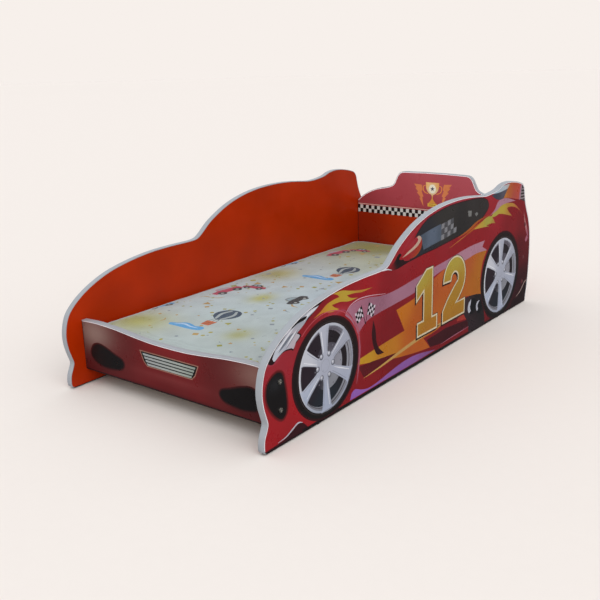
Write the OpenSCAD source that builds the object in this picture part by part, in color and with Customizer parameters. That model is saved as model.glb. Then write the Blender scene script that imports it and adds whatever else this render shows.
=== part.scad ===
// Toddler bed whose side panels are cut to the outline of a racing car.
// X runs across the bed, Y from the foot (the car's nose, at -Y) to the head, Z up from the floor.
// The origin lies on the floor, midway between the panels and midway from nose to tail. Millimetres.

/* [Mattress] */
// Length of the mattress
mattress_l = 1400; // [1100:10:1700]
// Width of the mattress
mattress_w = 700; // [560:10:850]
// Thickness of the mattress
mattress_h = 80; // [60:5:100]
// Corner radius of the mattress in plan
mattress_r = 45; // [20:5:80]
// Thickness of the cover's quilted cloth
cover_t = 2; // [1:0.5:4]

/* [Boards] */
// Thickness of a laminated board, its film included
board_t = 18; // [15:1:25]
// Thickness of the plastic edge banding
edging_t = 2; // [1:0.5:3]
// Thickness of the printed film on a board's face
film_t = 0.4; // [0.2:0.1:0.6]

/* [Side panels] */
// Height of the spoiler, the panel's highest point, above its bottom edge
panel_h = 477; // [390:1:580]
// From the tip of the nose back to the footboard's front face
nose_len = 59; // [45:1:90]
// From the headboard's rear face back to the tip of the tail
tail_len = 49; // [40:1:90]

/* [Head and foot boards] */
// Height of the head and foot boards' bottom edges above the panels' bottom edges
board_rise = 44; // [30:1:55]
// Height of the headboard's top edge above the panels' bottom edges
head_h = 465; // [380:1:560]
// Height of the footboard's top edge above the panels' bottom edges
foot_h = 197; // [190:1:240]

/* [Slatted base] */
// Thickness of a rail, across the bed
rail_w = 20; // [15:1:30]
// Height of a rail
rail_h = 30; // [25:1:45]
// Width of a slat, along the bed
slat_w = 68; // [50:1:80]
// Thickness of a slat
slat_t = 12; // [8:1:18]
// From the head or foot board to the nearest slat
slat_margin = 20; // [5:1:40]

/* [Fasteners] */
// Diameter of a panel bolt
bolt_d = 6; // [5:1:8]
// Length of a panel bolt under its head
bolt_l = 50; // [45:1:60]
// Diameter of a panel bolt's head
bolt_head_d = 13; // [11:1:16]
// Thickness of a panel bolt's head
bolt_head_t = 2.5; // [2:0.5:4]
// Size of a panel bolt's hexagon socket
bolt_key = 4; // [3:1:5]
// Diameter of a barrel nut
nut_d = 10; // [10:1:12]
// Length of a barrel nut
nut_l = 14; // [10:1:14]
// Diameter of the caps over the rear bolts
cap_d = 16; // [14:1:20]
// Diameter of a wood screw
screw_d = 4; // [3:0.5:5]
// Diameter of a glide
glide_d = 16; // [12:1:18]
// Thickness of a glide
glide_t = 3; // [2:0.5:5]
// Diameter of a glide's nail
nail_d = 2.5; // [2:0.5:3]

/* [Clearances] */
// Gap at each side of the mattress
side_gap = 5; // [3:1:15]
// Gap at each end of the mattress
end_gap = 9; // [7:1:20]
// Gap under the mattress, which rests on the slats
rest_gap = 0.3; // [0.2:0.1:0.5]
// Gap at each end of a slat or a rail
wood_gap = 1; // [0.5:0.5:3]
// How much wider than its bolt a clearance hole is
hole_gap = 0.5; // [0.3:0.1:1]

/* [Hidden] */
$fn = 48;

// A little more than flush, so that a cut runs clear of the face it starts from.
slip = 1;
slat_count = 13;
rail_screw_count = 6;

// The clear space between the boards.
inner_w = mattress_w + 2 * side_gap;
inner_l = mattress_l + 2 * end_gap;
panel_l = nose_len + inner_l + 2 * board_t + tail_len;

// Heights above the floor.
base_z = glide_t;
rail_z = base_z + board_rise;
slat_z = rail_z + rail_h;
mattress_z = slat_z + slat_t + rest_gap;

// Places along the bed: the panels' tip, and the front faces of the foot and head boards.
nose_y = -panel_l / 2;
foot_y = nose_y + nose_len;
head_y = foot_y + board_t + inner_l;
foot_mid_y = foot_y + board_t / 2;
head_mid_y = head_y + board_t / 2;

// Bolt heights above the panels' bottom edges.
foot_bolt_z = [93, 166];
head_bolt_z = [84, 178, 300];
bolt_tip_past_nut = 10;
nut_x = inner_w / 2 + board_t - bolt_l + bolt_tip_past_nut;

// How deep screws and nails bite into the board behind them.
rail_screw_bite = 12;
slat_screw_bite = 18;
screw_head_d = 2 * screw_d;
nail_l = 15;
nail_head_d = 2 * nail_d;
nail_head_t = 1;
glide_inset_nose = 221;
glide_inset_tail = 262;

// Zip of the mattress cover, which ends a little short of the round corners.
zip_margin = 5;
zip_l = mattress_w - 2 * (mattress_r + zip_margin);
zip_h = 8;
zip_t = 1;
slider_size = [12, 3, 9];

// Outline of a side panel at a length of 1562 and a height of 477: distance from the nose, height.
SIDE_REF = [1562, 477];
SIDE = [
    [10, 0], [3, 5], [1, 20], [4, 40], [12, 58], [17, 73],
    [12, 92], [5, 115], [0, 150], [4, 184], [16, 216], [37, 240], [68, 264],
    [112, 288], [172, 311], [250, 328], [340, 339], [430, 342], [530, 342],
    [549, 346], [568, 358], [606, 387], [656, 414], [706, 435], [770, 453],
    [850, 466], [950, 471], [1040, 468], [1110, 461], [1165, 455], [1215, 457],
    [1262, 463], [1292, 472], [1335, 477], [1390, 473], [1440, 463], [1468, 453],
    [1482, 438], [1490, 412], [1500, 383], [1516, 352], [1536, 318], [1552, 275],
    [1560, 225], [1562, 170], [1560, 110], [1553, 50], [1541, 0]
];

// Right half of the headboard's top edge at an inner width of 710 and a height of 465. The last
// point lies past the board's end, where the side panel cuts the edge off.
HEAD_REF = [710, 465];
HEAD = [
    [125, 465], [148, 462], [162, 450], [172, 430], [183, 411], [203, 401],
    [250, 391], [285, 380], [315, 365], [338, 349], [375, 318]
];

// Right half of the footboard's top edge at an inner width of 710 and a height of 197.
FOOT_REF = [710, 197];
FOOT = [[60, 181], [105, 184], [150, 188], [200, 193], [250, 196], [300, 197], [375, 193]];

// --- Outlines ---

// Stretches points from a reference size to the real one.
function stretched(points, from, to) = [for (p = points) [p.x * to.x / from.x, p.y * to.y / from.y]];

// Both halves of a symmetrical edge, from left to right.
function mirrored(half) = concat(
    [for (i = [len(half) - 1 : -1 : 0]) [-half[i].x, half[i].y]],
    half
);

// A point between p[1] and p[2] on the centripetal Catmull-Rom curve through four points.
function curve_point(p, u) =
    let (
        t1 = sqrt(norm(p[1] - p[0])),
        t2 = t1 + sqrt(norm(p[2] - p[1])),
        t3 = t2 + sqrt(norm(p[3] - p[2])),
        t = t1 + (t2 - t1) * u,
        a1 = (p[0] * (t1 - t) + p[1] * t) / t1,
        a2 = (p[1] * (t2 - t) + p[2] * (t - t1)) / (t2 - t1),
        a3 = (p[2] * (t3 - t) + p[3] * (t - t2)) / (t3 - t2),
        b1 = (a1 * (t2 - t) + a2 * t) / t2,
        b2 = (a2 * (t3 - t) + a3 * (t - t1)) / (t3 - t1)
    )
    (b1 * (t2 - t) + b2 * (t - t1)) / (t2 - t1);

// A smooth curve through all the points, with the given number of steps between neighbours.
function smooth(points, steps = 4) =
    let (
        n = len(points),
        all = concat([2 * points[0] - points[1]], points, [2 * points[n - 1] - points[n - 2]])
    )
    concat(
        [for (i = [0 : n - 2]) for (s = [0 : steps - 1])
            curve_point([for (k = [0 : 3]) all[i + k]], s / steps)],
        [points[n - 1]]
    );

function unit(v) = v / norm(v);
function left_of(v) = [-v.y, v.x];

// A closed outline moved inwards by d. The points run clockwise.
function inset(points, d) =
    let (n = len(points))
    [for (i = [0 : n - 1])
        let (
            a = left_of(unit(points[i] - points[(i + n - 1) % n])),
            b = left_of(unit(points[(i + 1) % n] - points[i]))
        )
        points[i] - (a + b) / (1 + a * b) * d];

side_outline = [for (p = smooth(stretched(SIDE, SIDE_REF, [panel_l, panel_h])))
    [p.x + nose_y, p.y + base_z]];

head_outline = [for (p = concat(
    smooth(mirrored(stretched(HEAD, HEAD_REF, [inner_w, head_h])), 3),
    [[inner_w, board_rise], [-inner_w, board_rise]])) [p.x, p.y + base_z]];

foot_outline = [for (p = concat(
    smooth(mirrored(stretched(FOOT, FOOT_REF, [inner_w, foot_h])), 3),
    [[inner_w, board_rise], [-inner_w, board_rise]])) [p.x, p.y + base_z]];

// --- Helpers for placing ---

// A flat shape in Y and Z, raised along +X from x.
module along_x(x, thickness) {
    translate([x, 0, 0]) rotate([90, 0, 90]) linear_extrude(thickness) children();
}

// A flat shape in X and Z, raised along +Y from y.
module along_y(y, thickness) {
    translate([0, y + thickness, 0]) rotate([90, 0, 0]) linear_extrude(thickness) children();
}

// The children as drawn for the right side, or mirrored for the left side.
module on_side(side) {
    if (side == "right") children();
    else mirror([1, 0, 0]) children();
}

module both_sides() {
    children();
    mirror([1, 0, 0]) children();
}

// Puts the children at every panel bolt of the right side, with the bolt's axis along X.
module at_foot_bolts() {
    for (z = foot_bolt_z) translate([0, foot_mid_y, base_z + z]) children();
}

module at_head_bolts() {
    for (z = head_bolt_z) translate([0, head_mid_y, base_z + z]) children();
}

module at_glides() {
    mid_x = inner_w / 2 + board_t / 2;
    for (y = [nose_y + glide_inset_nose, nose_y + panel_l - glide_inset_tail])
        translate([mid_x, y, 0]) children();
}

// --- Places along the slatted base ---

first_slat_y = foot_y + board_t + slat_margin + slat_w / 2;
last_slat_y = head_y - slat_margin - slat_w / 2;
slat_pitch = (last_slat_y - first_slat_y) / (slat_count - 1);
function slat_y(i) = first_slat_y + i * slat_pitch;

// The rail screws stand midway between two slats, so that they clear the slat screws.
function rail_screw_y(i) =
    slat_y(round(i * (slat_count - 2) / (rail_screw_count - 1)) + 0.5);

module at_rail_screws() {
    for (i = [0 : rail_screw_count - 1])
        translate([inner_w / 2 - rail_w, rail_screw_y(i), rail_z + rail_h / 2])
            rotate([0, 90, 0]) children();
}

module at_slat_screws(i) {
    translate([inner_w / 2 - rail_w / 2, slat_y(i), slat_z + slat_t])
        rotate([180, 0, 0]) children();
}

// --- Fastener shapes ---

// A countersunk screw that runs along +Z from its flat head at z = 0.
module screw(length) {
    cylinder(d1 = screw_head_d, d2 = screw_d, h = screw_d / 2);
    cylinder(d = screw_d, h = length);
}

// The hole that a screw fills, open above its head.
module screw_hole(length) {
    translate([0, 0, -slip]) cylinder(d = screw_head_d, h = slip);
    screw(length);
}

// A bolt that runs along -X from under its flat head at x = 0.
module bolt() {
    rotate([0, 90, 0]) difference() {
        union() {
            cylinder(d = bolt_head_d, h = bolt_head_t);
            translate([0, 0, -bolt_l]) cylinder(d = bolt_d, h = bolt_l + bolt_head_t / 2);
        }
        translate([0, 0, bolt_head_t / 2]) cylinder(d = bolt_key / cos(30), h = bolt_head_t, $fn = 6);
    }
}

// --- Side panels ---

// Holes through a right panel's full thickness: bolts at foot and head, seats of the rear heads.
module panel_bolt_holes() {
    inner_x = inner_w / 2;
    at_foot_bolts() translate([inner_x - slip, 0, 0]) rotate([0, 90, 0])
        cylinder(d = bolt_d + hole_gap, h = board_t + 2 * slip);
    at_head_bolts() translate([inner_x - slip, 0, 0]) rotate([0, 90, 0])
        cylinder(d = bolt_d + hole_gap, h = board_t + 2 * slip);
    at_head_bolts() translate([inner_x + board_t - bolt_head_t, 0, 0]) rotate([0, 90, 0])
        cylinder(d = bolt_head_d + hole_gap, h = bolt_head_t + slip);
}

module nail_holes() {
    at_glides() cylinder(d = nail_d, h = nail_head_t + nail_l);
}

module side_panel(side) {
    color("firebrick") on_side(side) difference() {
        along_x(inner_w / 2, board_t - film_t) polygon(inset(side_outline, edging_t));
        panel_bolt_holes();
        nail_holes();
        at_rail_screws() screw(rail_w + rail_screw_bite);
    }
}

module side_film(side) {
    color("crimson") on_side(side) difference() {
        along_x(inner_w / 2 + board_t - film_t, film_t) polygon(inset(side_outline, edging_t));
        panel_bolt_holes();
    }
}

module side_edging(side) {
    color("gainsboro") on_side(side) difference() {
        along_x(inner_w / 2, board_t) difference() {
            polygon(side_outline);
            polygon(inset(side_outline, edging_t));
        }
        nail_holes();
    }
}

// --- Head and foot boards ---

// What lies between the side panels.
module between_panels() {
    intersection() {
        children();
        translate([-inner_w / 2, 0]) square([inner_w, base_z + 2 * panel_h]);
    }
}

// Holes in a board whose middle plane is at mid_y: a bore from each end, and the nut's
// cross hole from the rear face.
module joint_holes(mid_y) {
    bore_tip_x = inner_w / 2 + board_t - bolt_head_t - bolt_l - slip;
    translate([bore_tip_x, 0, 0]) rotate([0, 90, 0]) cylinder(d = bolt_d + hole_gap, h = bolt_l);
    translate([nut_x, -nut_l / 2, 0]) rotate([-90, 0, 0])
        cylinder(d = nut_d, h = nut_l / 2 + board_t / 2 + slip);
}

module cross_board(outline, front_y) {
    along_y(front_y + film_t, board_t - film_t) between_panels() polygon(inset(outline, edging_t));
}

module cross_film(outline, front_y) {
    along_y(front_y, film_t) between_panels() polygon(inset(outline, edging_t));
}

module cross_edging(outline, front_y) {
    along_y(front_y, board_t) between_panels() difference() {
        polygon(outline);
        polygon(inset(outline, edging_t));
    }
}

module headboard() {
    color("firebrick") difference() {
        cross_board(head_outline, head_y);
        both_sides() at_head_bolts() joint_holes();
    }
}

module headboard_film() {
    color("brown") cross_film(head_outline, head_y);
}

module headboard_edging() {
    color("gainsboro") cross_edging(head_outline, head_y);
}

module footboard() {
    color("firebrick") difference() {
        cross_board(foot_outline, foot_y);
        both_sides() at_foot_bolts() joint_holes();
    }
}

module footboard_film() {
    color("brown") cross_film(foot_outline, foot_y);
}

module footboard_edging() {
    color("gainsboro") cross_edging(foot_outline, foot_y);
}

// --- Slatted base ---

module rail(side) {
    color("burlywood") on_side(side) difference() {
        translate([inner_w / 2 - rail_w, foot_y + board_t + wood_gap, rail_z])
            cube([rail_w, inner_l - 2 * wood_gap, rail_h]);
        at_rail_screws() screw_hole(rail_w + slip);
        for (i = [0 : slat_count - 1]) at_slat_screws(i) screw(slat_t + slat_screw_bite);
    }
}

module rail_screws() {
    color("silver") both_sides() at_rail_screws() screw(rail_w + rail_screw_bite);
}

module slat(i) {
    color("wheat") difference() {
        translate([wood_gap - inner_w / 2, slat_y(i) - slat_w / 2, slat_z])
            cube([inner_w - 2 * wood_gap, slat_w, slat_t]);
        both_sides() at_slat_screws(i) screw_hole(slat_t + slip);
    }
}

module slat_screws() {
    color("silver") both_sides()
        for (i = [0 : slat_count - 1]) at_slat_screws(i) screw(slat_t + slat_screw_bite);
}

// --- Bolts, nuts, caps and glides ---

module panel_bolts() {
    outer_x = inner_w / 2 + board_t;
    color("silver") both_sides() {
        at_foot_bolts() translate([outer_x, 0, 0]) bolt();
        at_head_bolts() translate([outer_x - bolt_head_t, 0, 0]) bolt();
    }
}

module barrel_nut() {
    difference() {
        translate([nut_x, -nut_l / 2, 0]) rotate([-90, 0, 0]) cylinder(d = nut_d, h = nut_l);
        translate([nut_x - nut_d, 0, 0]) rotate([0, 90, 0]) cylinder(d = bolt_d, h = 2 * nut_d);
    }
}

module barrel_nuts() {
    color("darkgray") both_sides() {
        at_foot_bolts() barrel_nut();
        at_head_bolts() barrel_nut();
    }
}

module bolt_caps() {
    color("maroon") both_sides() at_head_bolts() translate([inner_w / 2 + board_t, 0, 0])
        rotate([0, 90, 0]) cylinder(d = cap_d, h = film_t);
}

module glides() {
    color("dimgray") both_sides() at_glides() difference() {
        cylinder(d = glide_d, h = glide_t);
        translate([0, 0, -slip]) cylinder(d = nail_head_d, h = slip + nail_head_t);
        cylinder(d = nail_d, h = glide_t + slip);
    }
}

module glide_nails() {
    color("silver") both_sides() at_glides() {
        translate([0, 0, nail_head_t / 2]) cylinder(d = nail_head_d, h = nail_head_t / 2);
        translate([0, 0, nail_head_t / 2]) cylinder(d = nail_d, h = nail_head_t / 2 + nail_l);
    }
}

// --- Mattress ---

// A block with round upright corners, smaller than the mattress by wall on every side.
module mattress_block(wall) {
    w = mattress_w - 2 * wall;
    l = mattress_l - 2 * wall;
    r = mattress_r - wall;
    translate([0, 0, mattress_z + wall]) linear_extrude(mattress_h - 2 * wall) union() {
        square([w - 2 * r, l], center = true);
        square([w, l - 2 * r], center = true);
        for (x = [-1, 1]) for (y = [-1, 1])
            translate([x * (w / 2 - r), y * (l / 2 - r)]) circle(r);
    }
}

module mattress_foam() {
    color("ivory") mattress_block(cover_t);
}

module mattress_cover() {
    color("lightsteelblue") difference() {
        mattress_block(0);
        mattress_block(cover_t);
    }
}

// The zip lies on the cover's head end, at mid height.
module cover_zip() {
    color("white") translate([-zip_l / 2, mattress_l / 2, mattress_z + mattress_h / 2 - zip_h / 2])
        cube([zip_l, zip_t, zip_h]);
}

module zip_slider() {
    color("silver") translate([zip_l / 2 - 2 * slider_size.x, mattress_l / 2 + zip_t,
        mattress_z + mattress_h / 2 - slider_size.z / 2]) cube(slider_size);
}

side_panel("right");  // side_panel_right
side_panel("left");  // side_panel_left
side_film("right");  // side_film_right
side_film("left");  // side_film_left
side_edging("right");  // side_edging_right
side_edging("left");  // side_edging_left
headboard();
headboard_film();
headboard_edging();
footboard();
footboard_film();
footboard_edging();
rail("right");  // rail_right
rail("left");  // rail_left
rail_screws();
slat(0);  // slat_01
slat(1);  // slat_02
slat(2);  // slat_03
slat(3);  // slat_04
slat(4);  // slat_05
slat(5);  // slat_06
slat(6);  // slat_07
slat(7);  // slat_08
slat(8);  // slat_09
slat(9);  // slat_10
slat(10);  // slat_11
slat(11);  // slat_12
slat(12);  // slat_13
slat_screws();
panel_bolts();
barrel_nuts();
bolt_caps();
glides();
glide_nails();
mattress_foam();
mattress_cover();
cover_zip();
zip_slider();
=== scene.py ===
"""Looks of a toddler bed with racing-car side panels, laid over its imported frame."""

import collections
import math
import random

import bmesh
import bpy
import numpy as np
from mathutils import Matrix, Vector, bvhtree, geometry, kdtree, noise


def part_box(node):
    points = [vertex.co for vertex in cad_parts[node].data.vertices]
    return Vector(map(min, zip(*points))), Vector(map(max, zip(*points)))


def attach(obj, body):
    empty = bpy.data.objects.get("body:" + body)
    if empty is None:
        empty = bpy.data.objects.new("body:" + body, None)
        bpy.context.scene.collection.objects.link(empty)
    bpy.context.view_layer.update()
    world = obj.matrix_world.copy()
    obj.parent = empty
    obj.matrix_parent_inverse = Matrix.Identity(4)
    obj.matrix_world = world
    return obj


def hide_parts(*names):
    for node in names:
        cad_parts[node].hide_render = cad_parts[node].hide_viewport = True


bl_info = {
    "name": "Racing-car toddler bed",
    "version": (1, 0, 0),
    "blender": (4, 5, 0),
    "location": "3D View > Sidebar > Bed",
    "description": "Prints, edge bands, boards, slats, metal and mattress of a toddler bed",
    "category": "Object",
}

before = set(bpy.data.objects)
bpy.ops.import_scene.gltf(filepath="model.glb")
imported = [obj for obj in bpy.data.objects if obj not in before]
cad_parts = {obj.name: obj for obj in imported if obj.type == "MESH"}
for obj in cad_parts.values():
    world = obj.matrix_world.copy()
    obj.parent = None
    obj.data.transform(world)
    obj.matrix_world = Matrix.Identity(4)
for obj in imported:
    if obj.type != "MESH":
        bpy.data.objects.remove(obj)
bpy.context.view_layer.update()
MM = 0.001

# The panels' nose tip and foot, which every printed distance starts from.
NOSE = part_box("side_edging_right")[0]
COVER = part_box("mattress_cover")
# How far the soft cover lies inside that box at its sides and its top, and its corners' radius in plan.
SIDE_MARGIN = 2
TOP_MARGIN = 0.5
COVER_CORNER = 45

# Where the camera stands, in metres, and how it is turned, tipped down and rolled, in degrees.
CAMERA_AT = (1.5064, -2.0740, 0.8913)
CAMERA_TURN = (38.065, 16.419, -1.508)
# Where the soft key light comes from.
KEY_FROM = (0.60, -0.38, 0.70)
# The round floor's radius in metres, and how many sides it and the backdrop have.
STAGE_RADIUS = 60
STAGE_SIDES = 96


# --- Colour ---


def linear(colour):
    """The linear red, green and blue of an sRGB hex colour, or of a colour that is linear already."""
    if not isinstance(colour, str):
        return tuple(colour)[:3]
    parts = [int(colour[i : i + 2], 16) / 255 for i in (1, 3, 5)]
    return tuple(c / 12.92 if c <= 0.04045 else ((c + 0.055) / 1.055) ** 2.4 for c in parts)


def mixed(first, second, share):
    """The first colour with a share of the second stirred in."""
    return tuple(a + (b - a) * share for a, b in zip(linear(first), linear(second)))


# --- Sizes and colours that can be changed ---


def colour_prop(name, description, colour):
    return bpy.props.FloatVectorProperty(
        name=name, description=description, default=linear(colour), subtype="COLOR", size=3, min=0, max=1
    )


def length_prop(name, description, millimetres, largest):
    return bpy.props.FloatProperty(
        name=name,
        description=description,
        default=millimetres * MM,
        min=0,
        max=largest * MM,
        precision=4,
        subtype="DISTANCE",
        unit="LENGTH",
    )


class BoardLook(bpy.types.PropertyGroup):
    """Boards, edge bands and the slatted base."""

    laminate: colour_prop("Laminate", "Melamine face of the boards", "#AC2B00")
    band: colour_prop("Edge band", "Plastic band round the boards", "#A0A4AA")
    pine: colour_prop("Pine", "Planed pine of the rails", "#C29560")
    slat_wood: colour_prop("Slat wood", "Planed poplar of the slats", "#CDB58A")
    band_round: length_prop("Band rounding", "Radius scraped on the edge band's corners", 0.7, 0.9)
    slat_round: length_prop("Slat rounding", "Radius on a slat's long corners", 2, 4)


class PrintInks(bpy.types.PropertyGroup):
    """Inks of the printed films."""

    strength: bpy.props.FloatProperty(
        name="Strength", description="How much light the inks give back", default=0.96
    )
    red: colour_prop("Red", "Bodywork", "#93181F")
    deep: colour_prop("Deep red", "Shaded bodywork", "#40141B")
    soot: colour_prop("Soot", "Tyres, glass and gaps", "#181516")
    blush: colour_prop("Blush", "Soft reflections on the red", "#9A4459")
    mauve: colour_prop("Mauve", "Reflection band along the flank", "#A06F84")
    orange: colour_prop("Orange", "Flash across the doors", "#A2561A")
    gold: colour_prop("Gold", "Flames and numerals", "#A07624")
    cream: colour_prop("Cream", "Outline of the numerals", "#C6BB9F")
    silver: colour_prop("Silver", "Wheels and lamps", "#A2A5B3")


class MattressLook(bpy.types.PropertyGroup):
    """Mattress cover and its zip."""

    cloth: colour_prop("Cloth", "Ground of the printed cloth", "#B3C0BF")
    blotch: colour_prop("Blotch", "Washed yellow-green patches", "#A3A252")
    corner_round: length_prop("Edge rounding", "Radius of the padded edge", 10, 30)
    swell: length_prop("Swell", "Furthest that the stuffing may push the cover", 5, 8)
    piping: length_prop("Piping", "Thickness of the piping in the seams", 4, 6)


class StageLook(bpy.types.PropertyGroup):
    """Floor, light and camera."""

    paper: colour_prop("Backdrop", "Pale studio paper", "#F7F0EB")
    lens: bpy.props.FloatProperty(name="Lens", description="Focal length in millimetres", default=48.2)
    sun: bpy.props.FloatProperty(name="Sun", description="Strength of the soft key light", default=0.95)
    tent: colour_prop("Tent", "Colour of the light from all round", (0.96, 0.98, 1.0))
    sky: bpy.props.FloatProperty(
        name="Sky", description="Strength of the light from all round", default=0.92
    )


# --- Flat shapes, in millimetres ---


def smooth(points, closed=True, steps=4):
    """A centripetal Catmull-Rom curve through the points."""
    p = [np.array(q, float) for q in points]
    run = [p[-1], *p, p[0], p[1]] if closed else [2 * p[0] - p[1], *p, 2 * p[-1] - p[-2]]
    out = []
    for a, b, c, d in zip(run, run[1:], run[2:], run[3:]):
        t1 = math.dist(a, b) ** 0.5
        t2 = t1 + math.dist(b, c) ** 0.5
        t3 = t2 + math.dist(c, d) ** 0.5
        for step in range(steps):
            t = t1 + (t2 - t1) * step / steps
            ab = (a * (t1 - t) + b * t) / t1
            bc = (b * (t2 - t) + c * (t - t1)) / (t2 - t1)
            cd = (c * (t3 - t) + d * (t - t2)) / (t3 - t2)
            left = (ab * (t2 - t) + bc * t) / t2
            right = (bc * (t3 - t) + cd * (t - t1)) / (t3 - t1)
            out.append((left * (t2 - t) + right * (t - t1)) / (t2 - t1))
    return np.array(out if closed else [*out, p[-1]])


def cornered(*runs, steps=4):
    """A closed outline of smooth runs that meet in sharp corners."""
    joined = [
        smooth([*run, after[0]], closed=False, steps=steps)[:-1]
        for run, after in zip(runs, [*runs[1:], runs[0]])
    ]
    return np.concatenate(joined)


def straight(*points):
    return np.array(points, float)


def oval(u, v, ru, rv=None, start=0, sweep=360, count=56):
    """Points round an oval, or along a part of it."""
    ends = sweep < 360
    turns = np.radians(start + sweep * np.arange(count + ends) / count)
    return np.stack([u + ru * np.cos(turns), v + (rv or ru) * np.sin(turns)], 1)


def ribbon(points, widths, steps=4):
    """A brush stroke along a smooth line, whose width changes evenly from each value to the next."""
    line = smooth(points, closed=False, steps=steps)
    ahead = np.gradient(line, axis=0)
    side = np.stack([-ahead[:, 1], ahead[:, 0]], 1) / np.linalg.norm(ahead, axis=1, keepdims=True)
    half = np.interp(np.linspace(0, 1, len(line)), np.linspace(0, 1, len(widths)), widths) / 2
    return np.concatenate([line + side * half[:, None], (line - side * half[:, None])[::-1]])


def moved(outline, shift=(0, 0), turn=0, size=1, flip=False):
    """An outline sized, mirrored, turned in degrees and then shifted."""
    c, s = math.cos(math.radians(turn)), math.sin(math.radians(turn))
    scaled = np.asarray(outline, float) * (-size if flip else size, size)
    return scaled @ np.array([[c, s], [-s, c]]) + shift


def grown(outline, by):
    """An outline moved outwards, with mitred corners."""
    p = np.asarray(outline, float)
    back, on = p - np.roll(p, 1, 0), np.roll(p, -1, 0) - p
    turn = 1 if (p[:, 0] * on[:, 1] - p[:, 1] * on[:, 0]).sum() > 0 else -1
    n1, n2 = (
        turn * np.stack([d[:, 1], -d[:, 0]], 1) / np.linalg.norm(d, axis=1, keepdims=True)
        for d in (back, on)
    )
    spread = np.maximum(1 + (n1 * n2).sum(1, keepdims=True), 0.4)
    return p + (n1 + n2) / spread * by


def inside(points, outlines):
    """Which points lie inside an odd number of the outlines."""
    odd = np.zeros(len(points), bool)
    for outline in outlines:
        a = np.asarray(outline, float)
        b = np.roll(a, -1, axis=0)
        near = np.flatnonzero(((points > a.min(0)) & (points < a.max(0))).all(1))
        p = points[near][:, None]
        crosses = (a[:, 1] > p[..., 1]) != (b[:, 1] > p[..., 1])
        rise = np.where(a[:, 1] == b[:, 1], 1e-12, b[:, 1] - a[:, 1])
        at = a[:, 0] + (p[..., 1] - a[:, 1]) / rise * (b[:, 0] - a[:, 0])
        odd[near] ^= (crosses & (p[..., 0] < at)).sum(1) % 2 == 1
    return odd


# --- Print: inks laid one over the other ---

Layer = collections.namedtuple("Layer", "paint outlines")


def even(colour):
    """One ink all over."""
    return lambda at: np.tile(linear(colour), (len(at), 1))


def field(*swatches, reach=45):
    """Ink that runs softly from swatch to swatch; each is a place and a colour."""
    spots = np.array([s[:2] for s in swatches], float)
    inks = np.array([linear(s[2]) for s in swatches])

    def paint(at):
        share = 1 / (((at[:, None] - spots) ** 2).sum(2) + reach**2) ** 2
        return share @ inks / share.sum(1, keepdims=True)

    return paint


def misted(paint, *mists):
    """Ink with soft sprays over it; each is a place, two radii, a colour and a strength."""

    def painted(at):
        ink = paint(at)
        for u, v, ru, rv, colour, strength in mists:
            share = strength * np.exp(-(((at[:, 0] - u) / ru) ** 2) - ((at[:, 1] - v) / rv) ** 2)[:, None]
            ink = ink * (1 - share) + share * np.array(linear(colour))
        return ink

    return painted


def ink_layer(paint, *outlines):
    """A layer of one ink, given as a colour or as a way of painting."""
    return Layer(paint if callable(paint) else even(paint), outlines)


def cut_sheet(loops, layers, spacing):
    """Cuts a flat sheet along its outline, its holes and every ink's edge.

    Gives the points, the triangles and the ink at each triangle's three corners."""
    points, edges = [], []
    low, high = np.min(loops[0], 0), np.max(loops[0], 0)
    layers = [
        Layer(paint, [o for o in outlines if (np.max(o, 0) > low).all() and (np.min(o, 0) < high).all()])
        for paint, outlines in layers
    ]
    for outline in [*loops, *(o for layer in layers for o in layer.outlines)]:
        first, count = len(points), len(outline)
        points += [Vector(p) for p in np.asarray(outline, float)]
        edges += [(first + i, first + (i + 1) % count) for i in range(count)]
    tree = kdtree.KDTree(len(points))
    for i, p in enumerate(points):
        tree.insert((*p, 0), i)
    tree.balance()
    for row in range(int((high[1] - low[1]) / spacing) + 1):
        for col in range(int((high[0] - low[0]) / spacing) + 1):
            spot = Vector((low[0] + (col + row % 2 / 2) * spacing, low[1] + row * spacing))
            if tree.find((*spot, 0))[2] > 0.4 * spacing:
                points.append(spot)
    cut = geometry.delaunay_2d_cdt(points, edges, [], 0, 0.005)
    at, triangles = np.array([tuple(p) for p in cut[0]]), np.array(cut[2])
    middle = at[triangles].mean(1)
    keep = inside(middle, loops)
    triangles, middle = triangles[keep], middle[keep]
    top = np.zeros(len(triangles), int)
    for i, layer in enumerate(layers):
        top[inside(middle, layer.outlines)] = i
    colours = np.ones((len(triangles), 3, 4))
    for i, layer in enumerate(layers):
        mine = top == i
        if mine.any():
            colours[mine, :, :3] = layer.paint(at[triangles[mine].ravel()]).reshape(-1, 3, 3)
    used, inverse = np.unique(triangles, return_inverse=True)
    return at[used], inverse.reshape(-1, 3), colours


# --- Meshes ---


def new_object(name, mesh):
    made = bpy.data.objects.new(name, mesh)
    bpy.context.scene.collection.objects.link(made)
    return made


def mesh_object(name, points, faces, material, sharp=35):
    """A mesh object with smooth faces that keep corners sharper than an angle."""
    mesh = bpy.data.meshes.new(name)
    mesh.from_pydata([tuple(p) for p in points], [], [tuple(f) for f in faces])
    mesh.validate()
    mesh.shade_smooth()
    mesh.set_sharp_from_angle(angle=math.radians(sharp))
    mesh.materials.append(material)
    return new_object(name, mesh)


def apply_modifiers(made):
    """Turns an object's modifiers into plain mesh."""
    bpy.context.view_layer.update()
    done = bpy.data.meshes.new_from_object(made.evaluated_get(bpy.context.evaluated_depsgraph_get()))
    made.modifiers.clear()
    made.data = done
    return made


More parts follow.
